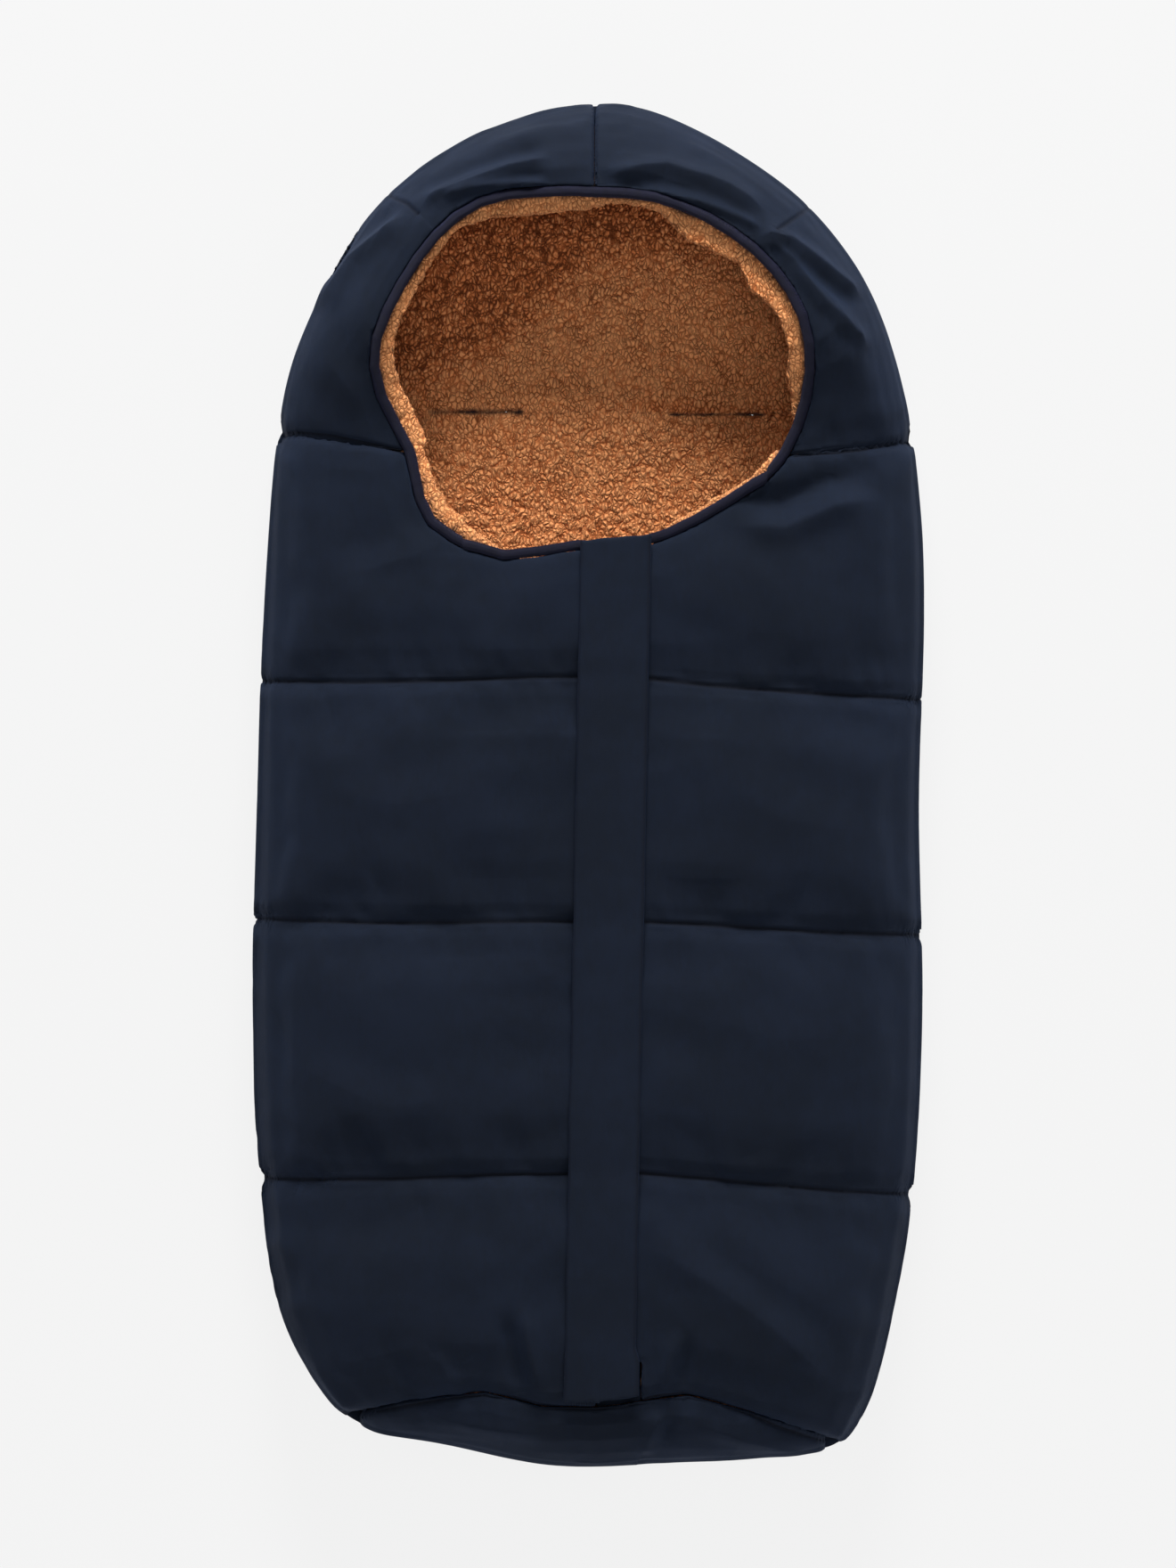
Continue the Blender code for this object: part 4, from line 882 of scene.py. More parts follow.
@dataclass(frozen=True)
class Swell:
    """How cloth swells between the seams that hold it."""

    pressure: float = 1.2
    slack: float = 0.035
    frames: int = 14
    cap: float = 6 * MM
    sink: float = 0.6 * MM
    slide: float = 0.35
    held: float = 3.5 * MM
    evening: int = 14

    def apply(self, thing: bpy.types.Object, sewn: Points, hidden: Points) -> None:
        """Runs the cloth and keeps its shape, without the wrinkles that are finer than the padding allows.

        Args:
            thing: The piece.
            sewn: True at the seams, where the cloth stays.
            hidden: True on the walls and the underside, where it is held as well.
        """
        start, normals = read_points(thing.data), read_normals(thing.data)
        hold = sewn | hidden
        group = thing.vertex_groups.new(name="sewn")
        group.add([int(index) for index in np.flatnonzero(hold)], 1.0, "REPLACE")
        cloth = thing.modifiers.new("cloth", "CLOTH")
        settings = cloth.settings
        for key, value in CLOTH.items():
            setattr(settings, key, value)
        settings.vertex_group_mass = group.name
        settings.shrink_min = -self.slack
        settings.uniform_pressure_force = self.pressure
        settings.effector_weights.gravity = 0
        cloth.collision_settings.use_collision = False
        cloth.collision_settings.use_self_collision = False
        cloth.point_cache.frame_start = 1
        cloth.point_cache.frame_end = self.frames
        scene = bpy.context.scene
        for moment in range(1, self.frames + 1):
            scene.frame_set(moment)
        shaped = thing.evaluated_get(bpy.context.evaluated_depsgraph_get())
        moved = read_points(shaped.data) - start
        thing.modifiers.remove(cloth)
        thing.vertex_groups.remove(group)
        scene.frame_set(1)
        rise = np.einsum("ij,ij->i", moved, normals)
        slid = moved - normals * rise[:, None]
        far = np.linalg.norm(slid, axis=1)
        slid *= (self.slide * np.minimum(1, self.cap / np.maximum(far, 1e-9)))[:, None]
        rise = np.clip(rise, -self.sink, self.cap)
        moved = relaxed(thing.data, slid + normals * rise[:, None], sewn, self.evening)
        write_points(thing.data, start + moved)
        log.info("  %s swelled by up to %.1f mm", thing.name, rise.max() / MM)


class Creases:
    """The creases of every padded panel: puckers at its seams, sewn grooves, folds and soft waves."""

    groove_depth = 1.35 * MM
    groove_width = 1.4 * MM
    pucker_height = 1.5 * MM
    pucker_reach = 9 * MM
    fold_strength = 1.8
    wall_share = 0.3
    fold_share = 0.7
    fold_rise = 0.8
    notch_fill = 2.8 * MM
    notch_width = 10 * MM

    def __init__(self, folds: tuple[Fold, ...] = (), seed: float = 0.0) -> None:
        """Keeps the panel's own folds.

        Args:
            folds: Folds that the photograph shows.
            seed: Offset of the panel's noise.
        """
        self.folds = folds
        self.seed = seed

    def apply(self, thing: bpy.types.Object) -> None:
        """Moves the outside of a piece along its normals and stores how deep each point lies in a seam, which
        the cloth's colour turns into painted shade.
        """
        places = read_points(thing.data)
        normals = read_normals(thing.data)
        outside = facing_out(places, normals)
        lift = 2.3 * MM * waves(places, 0.085, 3.1 + self.seed)
        lift += 0.8 * MM * waves(places, 0.032, 7.7 + self.seed, (0.7, 1.2, 1))
        lift += 0.25 * MM * waves(places, 0.013, 1.3 + self.seed)
        top = self.wall_share + (1 - self.wall_share) * eased((normals[:, 2] - 0.15) / 0.5)
        deep = np.zeros(len(places))
        flat = np.ones(len(places))
        for number, line in enumerate(Seams.all()):
            far, along, signed = line.measure(places)
            near = far < 0.05
            spots = along_line(along + 0.25 * signed, np.sign(signed) * 0.02, 0.013 * number)[near]
            ripple = np.zeros(len(far))
            ripple[near] = waves(spots, 0.017, 5.3 + self.seed) + 0.6 * waves(spots, 0.009, 2.9 + self.seed)
            reach = far / self.pucker_reach
            lift += self.pucker_height * ripple * reach * np.exp(1 - reach)
            groove = np.exp(-((far / self.groove_width) ** 2))
            deep = np.maximum(deep, groove)
            flat = np.minimum(flat, eased(far / 0.006))
        lift = lift * (0.35 + 0.65 * flat) - self.groove_depth * deep
        wall = 1 - eased(normals[:, 2] / 0.7)
        lift = lift * top + self.notch_fill * Seams.notch(places, self.notch_width) * wall
        raised = sum((fold.height(places) for fold in self.folds), np.zeros(len(places)))
        raised *= self.fold_strength * (self.fold_share + (1 - self.fold_share) * top) * outside
        upwards = normals + np.array([0, 0, self.fold_rise])
        upwards /= np.linalg.norm(upwards, axis=1)[:, None]
        write_points(thing.data, places + normals * (lift * outside)[:, None] + upwards * raised[:, None])
        # Painted shade: the seam grooves' depth is stored for the cloth to darken there.
        store(thing.data, "groove", deep * outside)


@dataclass
class PaddedShell:
    """A padded outer panel of the muff."""

    name: str
    nodes: list[str]
    folds: tuple[Fold, ...] = ()
    seed: float = 0.0
    fill: float = 0.55
    voxel: float = 3 * MM
    rounding: int = 12
    clear: float = 22 * MM
    overlap: "dict | None" = None
    slot: str = "navy_softshell"
    swell: Swell = field(default_factory=Swell)

    def build(self, finish: bpy.types.Material) -> bpy.types.Object:
        """Makes the panel.

        Args:
            finish: Its cloth.

        Returns:
            The panel, not yet riding on a body.
        """
        thing = copied(self.name, self.nodes, self.overlap)
        remeshed(thing, self.voxel)
        places, normals = read_points(thing.data), read_normals(thing.data)
        write_points(thing.data, Outline.smoothed(places, self.nodes))
        outer = facing_out(places, normals) > 0.95
        walls = outer & (np.abs(normals[:, 2] - 0.42) < 0.5) & (Opening.beyond(places) > self.clear)
        rounded(thing, walls & (np.abs(places[:, 0] - 0.015) > self.clear), self.rounding)
        places, normals = read_points(thing.data), read_normals(thing.data)
        hidden = (facing_out(places, normals) < 0.95) | (normals[:, 2] < 0.15)
        self.swell.apply(thing, Seams.nearest(places) < self.swell.held, hidden)
        refined(thing, self.outside)
        refined(thing, self.near_seams)
        Creases(self.folds, self.seed).apply(thing)
        write_points(thing.data, Outline.trimmed(read_points(thing.data), 0.2 * MM))
        return dressed(thing, finish, self.nodes)

    def outside(self, centres: Points, normals: Points) -> Points:
        """The faces on the outside."""
        return facing_out(centres, normals) > 0.3

    def near_seams(self, centres: Points, normals: Points) -> Points:
        """The faces close to a seam on the outside, which get finer."""
        return (Seams.nearest(centres) < 0.006) & (facing_out(centres, normals) > 0.3)


def dressed(thing: bpy.types.Object, finish: bpy.types.Material, nodes: list[str]) -> bpy.types.Object:
    """Gives a piece its finish and says which solids it stands for."""
    thing.data.materials.clear()
    thing.data.materials.append(finish)
    only(thing)
    bpy.ops.object.shade_smooth()
    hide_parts(*nodes)
    log.info("%s: %d faces", thing.name, len(thing.data.polygons))
    return thing


@dataclass
class TeddyPanel:
    """A lining panel covered in curly pile."""

    name: str
    nodes: list[str]
    seed: float = 0.0
    voxel: float = 3.6 * MM
    curl: float = 5.2 * MM
    height: float = 1.3 * MM
    cuts: int = 1
    fine: bool = True
    overlap: "dict | None" = None
    slot: str = "teddy_lining"
    opening: tuple[float, float, float, float] = (0.0015, 0.243, 0.128, 0.108)
    fill: float = 0.5
    rolls: tuple[tuple[float, float], ...] = ()
    lips: bool = False
    slots: tuple[tuple[float, ...], ...] = (
        (-0.067, BACK_SEAM, 0.0, 1.6), (0.077, BACK_SEAM, -1.5 * MM, 0.9), (0.005, -0.095, 0.0, 0.8),
    )
    shaded: float = 0.0

    def build(self, finish: bpy.types.Material) -> bpy.types.Object:
        """Makes the panel.

        Args:
            finish: Its pile.

        Returns:
            The panel, not yet riding on a body.
        """
        thing = copied(self.name, self.nodes, self.overlap)
        remeshed(thing, self.voxel)
        refined(thing, self.inside)
        if self.fine:
            refined(thing, self.seen, self.cuts)
        if self.lips:
            self.close_slots(thing)
        if self.rolls:
            write_points(thing.data, Opening.rolled(read_points(thing.data), self.rolls, self.seed))
        self.raise_pile(thing)
        return dressed(thing, finish, self.nodes)

    def inside(self, centres: Points, normals: Points) -> Points:
        """The faces on the side towards the baby."""
        return facing_out(centres, normals) < 0.6

    def seen(self, centres: Points, normals: Points) -> Points:
        """The faces that show in the face opening."""
        x, y, wide, high = self.opening
        within = ((centres[:, 0] - x) / wide) ** 2 + ((centres[:, 1] - y) / high) ** 2 < 1.0
        return within & (facing_out(centres, normals) < 0.6)

    def close_slots(self, thing: bpy.types.Object) -> None:
        """Lets the pile lean over the harness slots from both sides, so that they show as thin dark slits."""
        places = read_points(thing.data)
        seam = places[:, 1] - BACK_SEAM
        tips = eased((places[:, 2] - 13 * MM) / (3 * MM))
        places[:, 1] -= np.sign(seam) * 0.8 * MM * eased(1 - np.abs(seam) / (5 * MM)) * tips
        places[:, 2] += np.where(seam > 0, 1.2 * MM, -0.5 * MM) * eased(1 - np.abs(seam) / (16 * MM)) * tips
        for centre_x, centre_y, lean, _ in self.slots:
            beside = np.abs(places[:, 0] - centre_x)
            away = places[:, 1] - centre_y
            width = eased((36 * MM - beside) / (8 * MM))
            near = eased(1 - (np.abs(away) - 4.8 * MM) / (9 * MM))
            near *= eased((places[:, 2] - 12 * MM) / (5 * MM))
            rough = along_line(places[:, 0], np.sign(away) * 0.03)
            closing = 5.1 * MM + 0.3 * MM * waves(rough, 0.007, self.seed)
            places[:, 1] -= np.sign(away) * closing * width * near - lean * width * near
        write_points(thing.data, places)

    def slit(self, places: Points) -> Points:
        """1 in the painted shade line along a harness slot and 0 away from it."""
        dark = np.zeros(len(places))
        for centre_x, centre_y, lean, width in self.slots:
            away = places[:, 1] - centre_y - lean
            rough = along_line(places[:, 0])
            wide = width * MM * (1 + 0.6 * waves(rough, 0.009, 6.5))
            ends = eased((30 * MM - np.abs(places[:, 0] - centre_x)) / (3 * MM))
            broken = 0.62 + 0.38 * eased((waves(rough, 0.014, 2.5) + 0.45) / 0.3)
            dark = np.maximum(dark, broken * ends * np.exp(-((away / np.maximum(wide, 0.3 * MM)) ** 2)))
        return dark

    def overhang(self, places: Points) -> Points:
        """Shade of the pile that hangs over the seam's right-hand end, less than zero on the lit lip."""
        seam = 0.2238 - 0.067 * (places[:, 0] - 0.0227)
        along = eased((places[:, 0] - 0.0) / 0.05)
        above = (places[:, 1] - seam - 1.5 * MM) / (4.5 * MM)
        below = (places[:, 1] - seam + 3.0 * MM) / (2.0 * MM)
        return along * (0.55 * np.exp(-(above**2)) - 0.45 * np.exp(-(below**2)))

    def raise_pile(self, thing: bpy.types.Object) -> None:
        """Raises rounded curls with creases between them and stores each point's height for the colour, with
        painted light and shade added to it.
        """
        places, normals = read_points(thing.data), read_normals(thing.data)
        outward = facing_out(places, normals)
        beyond = Opening.beyond(places)
        covered = eased((beyond + 0.3 * MM) / (1.5 * MM))
        pile = 1 - outward * covered
        bent = places.copy()
        for axis in range(3):
            bent[:, axis] += self.curl * 0.9 * waves(places, 0.011, 11.0 * axis + self.seed)
        combed = 0.75 + 0.35 * waves(places, 0.03, 4.4 + self.seed)
        bent[:, 1] *= 0.8
        height = np.empty(len(places))
        for index, place in enumerate(bent / self.curl):
            near = noise.voronoi(Vector(place))[0]
            crease = 0.4 * max(0.0, 0.25 - (near[1] - near[0])) * 4
            height[index] = 1 - min(near[0] * 1.25, 1.0) ** 2 - crease
        height = np.clip(height, 0, 1)
        small = waves(places, 0.0023, 9.1 + self.seed)
        level = np.clip(height * 0.85 + 0.15 + 0.22 * small, 0, 1)
        loft = 1.6 * MM * waves(places, 0.045, 6.6 + self.seed)
        lift = self.height * (level * combed - 0.35) + loft
        # Painted shade in the harness slits, drawn with the backing's dark colour.
        dark = self.slit(places) * pile if self.lips else np.zeros(len(places))
        # Painted light and shade in the stored pile value: lighter along the opening's rolled rim, lighter on
        # the back panels and more so in the hood's back, a painted shadow of the hood's brim above the bound
        # line, and the overhang's painted shade over the seam with a painted highlight on the lip.
        rim = eased(1 - np.abs(beyond) / (16 * MM)) * (0.95 if self.rolls else 0.0)
        bound = np.interp(places[:, 0], (-0.10, -0.05, 0.0, 0.08), (0.232, 0.255, 0.305, 0.315))
        rim += self.shaded * (0.38 + 0.17 * eased((places[:, 1] - 0.214) / 0.03))
        rim -= self.shaded * 1.15 * eased((places[:, 1] - bound + 0.012) / 0.035)
        rim -= self.overhang(places) * self.shaded
        moved = places + normals * (lift * pile)[:, None]
        moved[:, 2] -= 1.0 * MM * dark * pile
        write_points(thing.data, moved)
        store(thing.data, "pile", level * (0.6 + 0.4 * pile) + rim)
        store(thing.data, "backing", np.maximum(covered * eased(outward / 0.25), dark))


# Sub-assemblies


@dataclass
class FrontHalf:
    """One half of the front: shell and lining from the side seam to the zip, across the fold line."""

    side: Side
    shell: bpy.types.Material
    pile: bpy.types.Material
    band: float = 13 * MM
    lap: float = 1.2 * MM

    rolls: tuple[tuple[float, float], ...] = (
        (0, 8), (20, 0), (170, 0), (184, 6), (198, 7), (210, 12), (226, 16), (240, 9), (250, 0), (285, 0),
        (300, 8), (335, 9), (360, 8),
    )
    left_fold: tuple[float, ...] = (5.005, -340.0, -72.58, 138.26)
    right_fold: tuple[float, ...] = (31.005, -340.0, 104.19, 177.53)

    @property
    def label(self) -> str:
        """left or right."""
        return self.side.name.lower()

    @property
    def fold(self) -> tuple[Points, Points]:
        """The fold line's lower and upper end in plan."""
        x0, y0, x1, y1 = self.left_fold if self.side is Side.LEFT else self.right_fold
        return np.array([x0, y0]) * MM, np.array([x1, y1]) * MM

    def lapped(self, points: Points) -> Points:
        """Lapel points, with those at the fold line pushed into the side panel."""
        low, high = self.fold
        x = np.interp(points[:, 1], [low[1], high[1]], [low[0], high[0]])
        beyond = low[0] + (high[0] - low[0]) * (points[:, 1] - low[1]) / (high[1] - low[1])
        x = np.where(points[:, 1] > high[1], beyond, x)
        near = np.abs(points[:, 0] - x) < 0.9 * MM
        moved = points.copy()
        moved[near, 0] += self.side.value * self.lap
        return moved

    def hinged(self, thing: bpy.types.Object) -> None:
        """Bakes the piece's placement into its points; it works out the band across the fold line but does not
        bend the piece.
        """
        low, high = self.fold
        along = (high - low) / np.linalg.norm(high - low)
        inward = np.array([along[1], -along[0]]) * -self.side.value
        middle = (low + high) / 2
        start, end = middle - inward * self.band * 0.6, middle + inward * self.band
        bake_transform(thing)

    def folds(self) -> tuple[Fold, ...]:
        """The folds that the photograph shows on this half."""
        if self.side is Side.LEFT:
            return (
                Fold(Line((-40, -302), (-34, -333), (-29, -358), (-29, -366)), 3.0, 7, 2.6, -1),
                Fold(Line((-88, -340), (-80, -350), (-76, -360)), 0.9, 5, 0.8),
                Fold(Line((-62, -330), (-50, -318), (-44, -300)), 0.8, 8, 0.6),
                Fold(Line((-185, -160), (-120, -190), (-60, -185)), 1.3, 14, 0.8),
                Fold(Line((-150, 120), (-100, 135), (-70, 150)), 1.8, 12, 1.0),
                Fold(Line((-170, 0), (-110, -12), (-50, 0)), 1.1, 16, 0.6),
            )
        return (
            Fold(Line((80, 152), (117, 151), (145, 164), (176, 168)), 4.0, 10, 5.0, 1),
            Fold(Line((52, -318), (47, -345), (46, -362)), 2.6, 6, 2.4, 1),
            Fold(Line((32, -268), (74, -294), (116, -326), (146, -356)), 2.4, 12, 1.8, 1),
            Fold(Line((60, -262), (105, -288), (150, -318)), 1.4, 14, 0.9),
            Fold(Line((60, 20), (110, -20), (170, -30)), 1.2, 18, 0.8),
            Fold(Line((50, -130), (110, -150), (180, -150)), 1.1, 18, 0.7),
        )

    def build(self) -> None:
        """Makes the shell and the lining."""
        label = self.label
        shell = PaddedShell(
            f"front_{label}_shell", [f"front_{label}_side", f"front_{label}_lapel"], self.folds(),
            seed=2.0 * self.side.value, overlap={f"front_{label}_lapel": self.lapped},
        ).build(self.shell)
        self.hinged(shell)
        lining = TeddyPanel(
            f"front_{label}_teddy", [f"front_{label}_side_lining", f"front_{label}_lapel_lining"],
            seed=20.0 + self.side.value, overlap={f"front_{label}_lapel_lining": self.lapped}, voxel=3.4 * MM,
            fine=False, rolls=self.rolls,
        ).build(self.pile)
        self.hinged(lining)


@dataclass
class Hood:
    """The two hood panels and the teddy lining inside them."""

    shell: bpy.types.Material
    pile: bpy.types.Material

    left_folds: tuple[Fold, ...] = (
        Fold(
            Line((-162, 277), (-154, 289), (-139, 310), (-122, 323), (-111, 331), (-104, 335)),
            3.4, 6, 2.4, 1,
        ),
        Fold(
            Line((-99, 337), (-92, 344), (-78, 350), (-61, 356), (-45, 361), (-31, 364), (-19, 368)),
            3.6, 5, 1.6, 1,
        ),
        Fold(Line((-86, 343), (-78, 346), (-68, 349), (-55, 351), (-37, 352), (-22, 352)), 2.2, 3.2, 0.6, 1),
        Fold(Line((-66, 371), (-41, 380), (-20, 385)), 1.2, 7, 0.8, 1),
        Fold(Line((-135, 300), (-128, 260), (-122, 228)), 1.8, 11, 1.4, -1),
        Fold(Line((-165, 262), (-140, 232), (-130, 212)), 1.0, 9, 0.6),
    )
    right_folds: tuple[Fold, ...] = (
        Fold(
            Line(
                (8, 355), (19, 359), (33, 362), (46, 363), (59, 359), (71, 356), (83, 351), (95, 343),
                (107, 335),
            ),
            3.4, 6, 1.1, -1,
        ),
        Fold(Line((28, 345), (49, 345), (65, 342), (79, 337), (91, 332), (103, 325)), 2.4, 3.4, 0.2, -1),
        Fold(
            Line((97, 319), (107, 323), (119, 319), (130, 311), (142, 302), (154, 293), (164, 284)),
            3.4, 5, 1.9, -1,
        ),
        Fold(
            Line(
                (98, 319), (110, 316), (121, 307), (130, 294), (138, 284), (148, 274), (158, 264), (166, 254),
            ),
            3.2, 5, 0.6, -1,
        ),
        Fold(Line((140, 300), (152, 262), (158, 225)), 1.6, 11, 1.0),
    )
    seam_lean: float = 2.2 * MM

    def leaning(self, points: Points) -> Points:
        """Hood points, with the centre seam moved to where the photograph shows it."""
        moved = points.copy()
        near = np.exp(-(((points[:, 0] - 6 * MM) / (35 * MM)) ** 2)) * eased((points[:, 1] - 0.33) / 0.02)
        moved[:, 0] -= self.seam_lean * near
        return moved

    def build(self) -> None:
        """Makes the panels and the lining."""
        for label, folds, seed in (("left", self.left_folds, 31.0), ("right", self.right_folds, 47.0)):
            node = f"hood_{label}"
            panel = PaddedShell(
                f"hood_{label}_shell", [node], folds, seed, voxel=2.6 * MM, overlap={node: self.leaning},
            ).build(self.shell)
            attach(panel, Body.MUFF.value)
        rolls = (
            (0, 2), (16, 1), (27, 7), (36, 1), (52, 6), (68, -4), (83, -7), (91, -2), (110, 0.5), (117, 2),
            (125, -1), (136, -6), (149, -3), (166, -2), (178, 0.1), (220, 0.1), (320, -5), (345, -7),
            (354, -3), (360, 2),
        )
        lining = TeddyPanel(
            "hood_teddy", ["hood_lining"], seed=51.0, voxel=3 * MM, height=1.8 * MM, rolls=rolls,
        ).build(self.pile)
        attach(lining, Body.MUFF.value)


@dataclass
class Back:
    """The back shell with its two teddy panels."""

    shell: bpy.types.Material
    pile: bpy.types.Material
    voxel: float = 3 * MM
    tuck: float = 2.2 * MM
    tuck_width: float = 6 * MM
    inset: float = 0.9 * MM
    fill: float = 0.5

    def build(self) -> None:
        """Makes the back."""
        nodes = ["back_shell"]
        thing = copied("back_shell_cloth", nodes)
        remeshed(thing, self.voxel)
        write_points(thing.data, Outline.smoothed(read_points(thing.data), nodes))
        places = read_points(thing.data)
        lift = 0.8 * MM * waves(places, 0.05, 61.0) + 0.4 * MM * waves(places, 0.02, 63.0)
        rim = eased((places[:, 2] - 1.5 * MM) / (14 * MM))
        away = facing_out(places, read_normals(thing.data))
        tucked = Seams.notch(places, self.tuck_width)
        lift = lift * away * rim
        moved = places + read_normals(thing.data) * lift[:, None]
        moved[:, 0] -= np.sign(places[:, 0]) * self.tuck * tucked * rim
        write_points(thing.data, Outline.trimmed(moved, self.inset))
        store(thing.data, "groove", np.zeros(len(places)))
        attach(dressed(thing, self.shell, nodes), Body.MUFF.value)
        panels = (("back_teddy", "back_lining", 71.0), ("hood_back_teddy", "hood_back_lining", 83.0))
        for name, node, seed in panels:
            panel = TeddyPanel(
                name, [node], seed=seed, slot="teddy_lining_back", height=2.0 * MM, lips=True, cuts=2,
                shaded=1.0,
            ).build(self.pile)
            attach(panel, Body.MUFF.value)


@dataclass
class Foot:
    """The padded toe wall, its lining and the cloth bridge at the zip's end."""

    shell: bpy.types.Material
    pile: bpy.types.Material

    folds: tuple[Fold, ...] = (
        Fold(Line((48, -366), (40, -378), (34, -392)), 1.8, 5, 1.4, 1),
        Fold(Line((-95, -372), (-60, -380), (-20, -384)), 1.6, 7, 1.0, -1),
        Fold(Line((60, -376), (100, -388), (135, -396)), 1.4, 6, 0.8, -1),
    )

    def build(self) -> None:
        """Makes the foot."""
        wall = PaddedShell("foot_shell", ["foot_gusset"], self.folds, 91.0, voxel=2.2 * MM).build(self.shell)
        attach(wall, Body.MUFF.value)
        lining = TeddyPanel("foot_teddy", ["foot_gusset_lining"], seed=95.0, fine=False).build(self.pile)
        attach(lining, Body.MUFF.value)
        bridge = copied("zip_bridge_cloth", ["zip_foot_bridge"])
        remeshed(bridge, 0.8 * MM, 1)
        store(bridge.data, "groove", np.zeros(len(bridge.data.vertices)))
        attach(dressed(bridge, self.shell, ["zip_foot_bridge"]), Body.MUFF.value)


@dataclass
class Rim:
    """The bound edge of the face opening, in three lengths that meet at the shoulder seams."""

    tape: bpy.types.Material
    voxel: float = 1.0 * MM
    reach: float = 1.6 * MM

    def build(self, halves: tuple[FrontHalf, FrontHalf]) -> None:
        """Makes the binding.

        Args:
            halves: The front halves, whose sides name its lower lengths and pick the lapel bodies they ride on.
        """
        hood = self.length("binding_hood_tape", ["binding_hood"])
        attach(dressed(hood, self.tape, ["binding_hood"]), Body.MUFF.value)
        for half in halves:
            node = f"binding_{half.label}_lapel"
            part = self.length(f"binding_{half.label}_tape", [node])
            lapel = Body.LEFT if half.side is Side.LEFT else Body.RIGHT
            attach(dressed(part, self.tape, [node]), lapel.value)

    def length(self, name: str, nodes: list[str]) -> bpy.types.Object:
        """A softened length of binding with the slight unevenness of a sewn tape."""
        thing = copied(name, nodes)
        remeshed(thing, self.voxel, 3)
        places = read_points(thing.data)
        if "lapel" in nodes[0]:
            side = np.sign(places[:, 0].mean())
            end = np.max(places[:, 0] * side)
            places[:, 0] += side * self.reach * eased(1 - (end - places[:, 0] * side) / (10 * MM))
            start = np.min(places[:, 0] * side)
            places[:, 0] -= side * self.reach * eased(1 - (places[:, 0] * side - start) / (10 * MM))
            write_points(thing.data, places)
        lift = 0.25 * MM * waves(places, 0.012, 2.2) + 0.12 * MM * waves(places, 0.004, 8.2)
        write_points(thing.data, places + read_normals(thing.data) * lift[:, None])
        return thing


@dataclass
class Placket:
    """The flap over the zip, sewn along its right edge."""

    shell: bpy.types.Material
    voxel: float = 1.6 * MM

    def build(self) -> None:
        """Makes the flap."""
        thing = copied("flap_cloth", ["zip_flap"])
        remeshed(thing, self.voxel, 3)
        places, normals = read_points(thing.data), read_normals(thing.data)
        places[:, 1] += 4.5 * MM * eased((-0.345 - places[:, 1]) / 0.022)
        up = eased((normals[:, 2] + 0.2) / 0.6)
        slant = 0.0195 * (places[:, 1] + 366 * MM)
        across = (27.5 * MM + slant - places[:, 0]) / (42 * MM)
        foot_end = eased((-0.330 - places[:, 1]) / 0.010)
        places[:, 0] += 2.4 * MM * foot_end * eased(1 - across / 0.3)
        seamed = np.zeros(len(places))
        for seam in Seams.quilting:
            far, _, _ = seam.measure(places)
            seamed = np.maximum(seamed, np.exp(-((far / (9 * MM)) ** 2)))
        lift = 1.1 * MM * np.sin(np.clip(across, 0, 1) * math.pi) - 0.8 * MM * seamed
        lift += 0.8 * MM * waves(places, 0.035, 12.0, (0.6, 1.0, 1.0))
        lift += 0.25 * MM * waves(places, 0.012, 15.0)
        edge = np.exp(-(((across - 0.04) / 0.035) ** 2)) + 0.5 * np.exp(-(((across - 0.95) / 0.05) ** 2))
        lift -= 0.8 * MM * edge
        write_points(thing.data, places + normals * (lift * up)[:, None])
        # Painted shade: dark lines along both long edges of the flap, stored like the seams' painted shade.
        line = np.exp(-((across / 0.04) ** 2)) * up + eased((across - 0.962) / 0.025)
        store(thing.data, "groove", np.clip(line, 0, 1))
        dressed(thing, self.shell, ["zip_flap"])
        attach(thing, Body.FLAP.value)


@dataclass
class Harness:
    """The bound slots for the harness straps."""

    tape: bpy.types.Material

    def build(self) -> None:
        """Makes the three slots' bindings."""
        for node in ("shoulder_slot_left", "shoulder_slot_right", "crotch_slot"):
            thing = copied(f"{node}_tape", [node])
            remeshed(thing, 0.7 * MM, 2)
            places = read_points(thing.data)
            places[:, 2] = np.minimum(places[:, 2], 15 * MM)
            write_points(thing.data, places)
            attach(dressed(thing, self.tape, [node]), Body.MUFF.value)


@dataclass
class Zip:
    """The hidden zip, which keeps its solids and gets its finishes."""

    weave: bpy.types.Material
    plastic: bpy.types.Material
    metal: bpy.types.Material

    def build(self) -> None:
        """Dresses the tapes, teeth, stops, slider and pull."""
        sides = {"zip_tape": self.weave, "zip_teeth": self.plastic, "zip_top_stop": self.plastic}
        finishes = {f"{kind}_{side}": finish for kind, finish in sides.items() for side in ("left", "right")}
        finishes |= {"zip_bottom_stop": self.plastic, "zip_slider": self.metal, "zip_pull": self.metal}
        for node, finish in finishes.items():
            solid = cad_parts[node]
            for index in range(len(solid.data.materials)):
                solid.data.materials[index] = finish
            if not solid.data.materials:
                solid.data.materials.append(finish)


# Studio


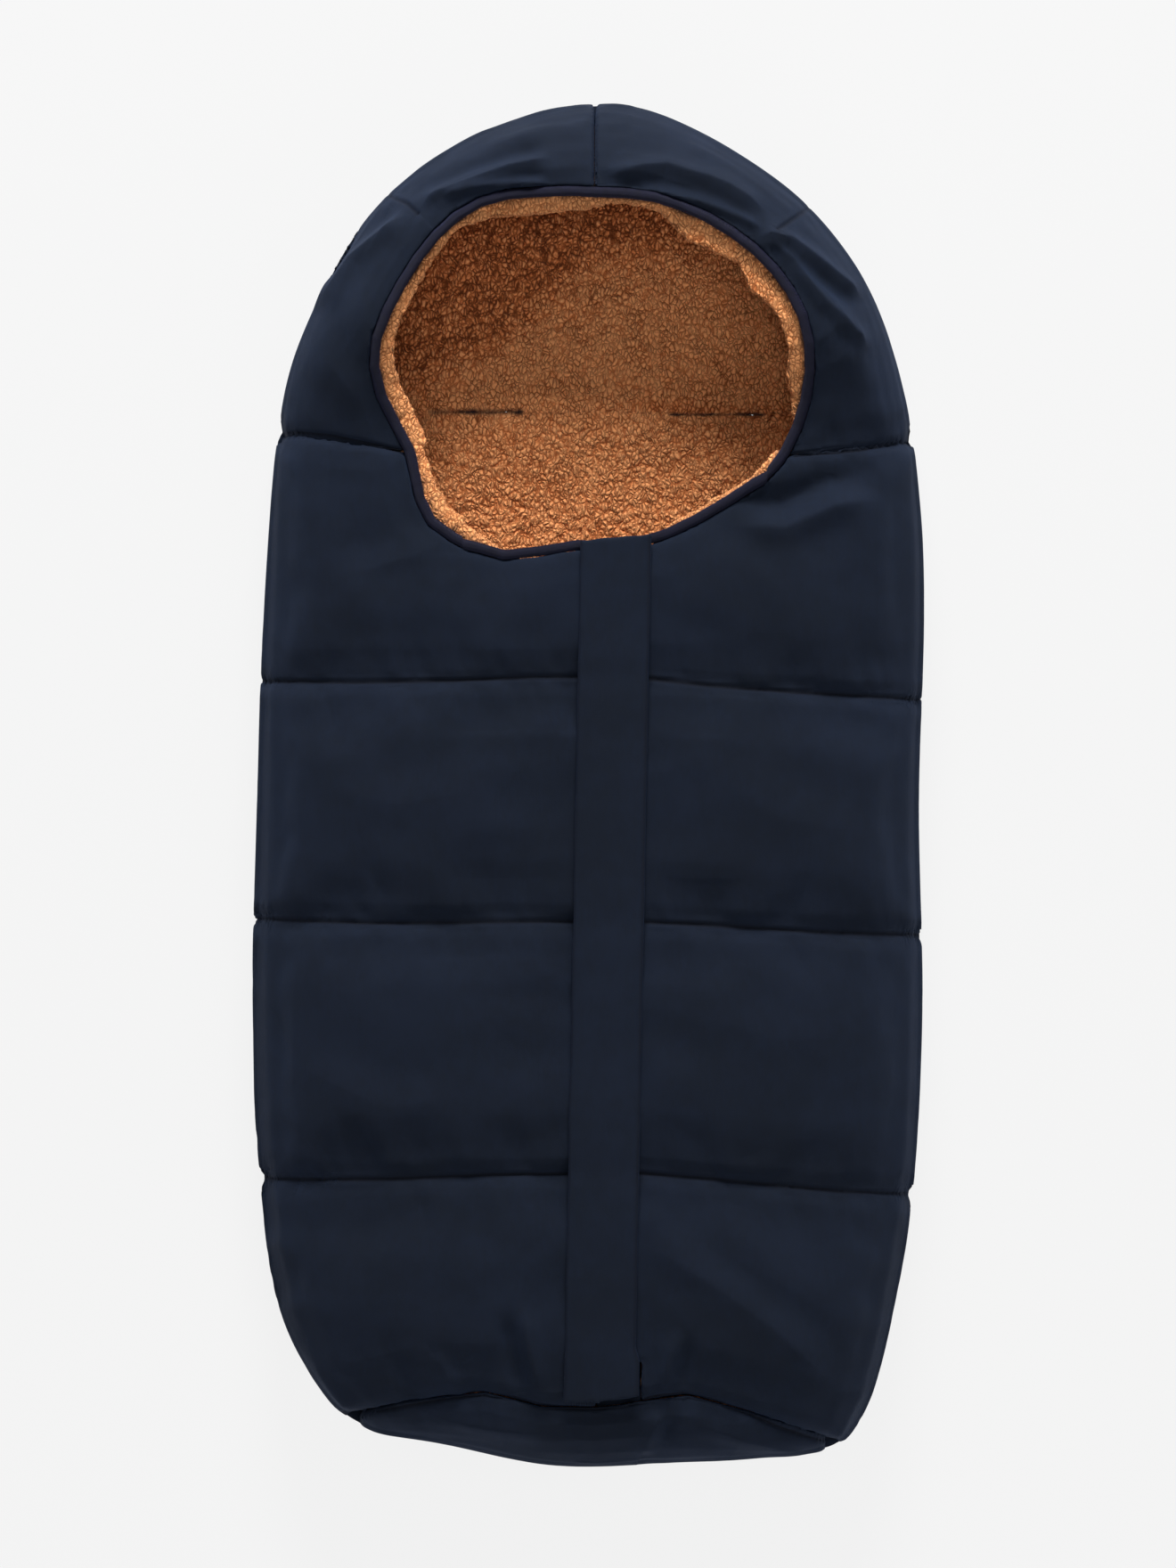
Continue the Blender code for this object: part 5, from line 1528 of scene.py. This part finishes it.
@dataclass
class Studio:
    """Pale floor, soft low light from beyond the hood, and the camera straight above."""

    pale: Colour = (0.898, 0.898, 0.898)
    camera_height: float = 5.0
    view_height: float = 0.931
    sensor: float = 36.0
    subject_height: float = 0.045
    ambient: Colour = (0.92, 0.96, 1.0)
    ambient_strength: float = 0.18
    floor_glow: float = 0.95
    lamps: tuple[tuple[str, Colour, Colour, float, float], ...] = (
        ("key_light", (0.0, 2.3, 1.2), (0.0, 0.1, 0.05), 0.8, 120.0),
        ("fill_light", (0.7, -1.9, 1.8), (0.0, 0.0, 0.0), 2.0, 28.0),
        ("overhead_light", (-0.1, 0.6, 3.2), (0.0, 0.1, 0.0), 1.0, 13.0),
    )

    def build(self) -> None:
        """Sets up the floor, the lights, the world and the camera."""
        scene = bpy.context.scene
        scene.view_settings.view_transform = "Standard"
        self.floor()
        self.world(scene)
        for values in self.lamps:
            self.lamp(*values)
        lens = bpy.data.cameras.new("camera")
        lens.sensor_fit = "VERTICAL"
        lens.sensor_height = self.sensor
        lens.sensor_width = self.sensor
        lens.lens = self.sensor * (self.camera_height - self.subject_height) / self.view_height
        lens.clip_end = 50
        camera = bpy.data.objects.new("camera", lens)
        camera.location = (0, 0, self.camera_height)
        scene.collection.objects.link(camera)
        scene.camera = camera

    def lamp(self, name: str, place: Colour, target: Colour, size: float, power: float) -> None:
        """Adds a square area light aimed at a point."""
        light = bpy.data.lights.new(name, "AREA")
        light.size = size
        light.energy = power
        thing = bpy.data.objects.new(name, light)
        thing.location = place
        thing.rotation_euler = (Vector(target) - Vector(place)).to_track_quat("-Z", "Y").to_euler()
        bpy.context.scene.collection.objects.link(thing)

    def seen_by_eye(self, tree: bpy.types.NodeTree, share: float, lit: bpy.types.Node, shown: str,
                    output: str) -> None:
        """Closes a tree with the studio's pale colour for the eye, and something else for the light.

        Args:
            tree: The world's or the material's nodes.
            share: How much of the pale colour the camera sees, directly, in a mirror or through glass.
            lit: The shader for all other rays.
            shown: Type of the node that gives the pale colour.
            output: Type of the output node.
        """
        path, total = tree.nodes.new("ShaderNodeLightPath"), tree.nodes.new("ShaderNodeMath")
        total.operation = "ADD"
        total.use_clamp = True
        tree.links.new(path.outputs["Is Camera Ray"], total.inputs[0])
        tree.links.new(path.outputs["Is Glossy Ray"], total.inputs[1])
        part = tree.nodes.new("ShaderNodeMath")
        part.operation = "MULTIPLY"
        part.inputs[1].default_value = share
        tree.links.new(total.outputs[0], part.inputs[0])
        glow, mix = tree.nodes.new(shown), tree.nodes.new("ShaderNodeMixShader")
        glow.inputs[0].default_value = (*self.pale, 1)
        tree.links.new(part.outputs[0], mix.inputs[0])
        tree.links.new(lit.outputs[0], mix.inputs[1])
        tree.links.new(glow.outputs[0], mix.inputs[2])
        tree.links.new(mix.outputs[0], tree.nodes.new(output).inputs[0])

    def world(self, scene: bpy.types.Scene) -> None:
        """A pale world that lights softly."""
        world = bpy.data.worlds.new("studio")
        scene.world = world
        world.use_nodes = True
        tree = world.node_tree
        tree.nodes.clear()
        ambient = tree.nodes.new("ShaderNodeBackground")
        ambient.inputs[0].default_value = (*self.ambient, 1)
        ambient.inputs[1].default_value = self.ambient_strength
        self.seen_by_eye(tree, 1.0, ambient, "ShaderNodeBackground", "ShaderNodeOutputWorld")

    def floor(self) -> None:
        """A wide pale floor that keeps a faint shadow."""
        bpy.ops.object.select_all(action="DESELECT")
        bpy.ops.mesh.primitive_plane_add(size=8, location=(0, 0, -0.5 * MM))
        plane = bpy.context.view_layer.objects.active
        plane.name = "floor"
        material = bpy.data.materials.new("pale_floor")
        material.use_nodes = True
        tree = material.node_tree
        tree.nodes.clear()
        matt = tree.nodes.new("ShaderNodeBsdfDiffuse")
        matt.inputs[0].default_value = (*self.pale, 1)
        self.seen_by_eye(tree, self.floor_glow, matt, "ShaderNodeEmission", "ShaderNodeOutputMaterial")
        plane.data.materials.append(material)


def main() -> None:
    """Builds the dressed muff and its studio."""
    logging.basicConfig(level=logging.INFO, format="%(message)s")
    Studio().build()
    shell, pile, tape = Softshell().make(), Teddy().make(), BoundTape().make()
    halves = (FrontHalf(Side.LEFT, shell, pile), FrontHalf(Side.RIGHT, shell, pile))
    for half in halves:
        half.build()
    Hood(shell, pile).build()
    Back(shell, pile).build()
    Foot(shell, pile).build()
    Rim(tape).build(halves)
    Placket(shell).build()
    Harness(tape).build()
    Zip(ZipTape().make(), ZipPlastic().make(), LacqueredMetal().make()).build()


if __name__ == "__main__":
    main()
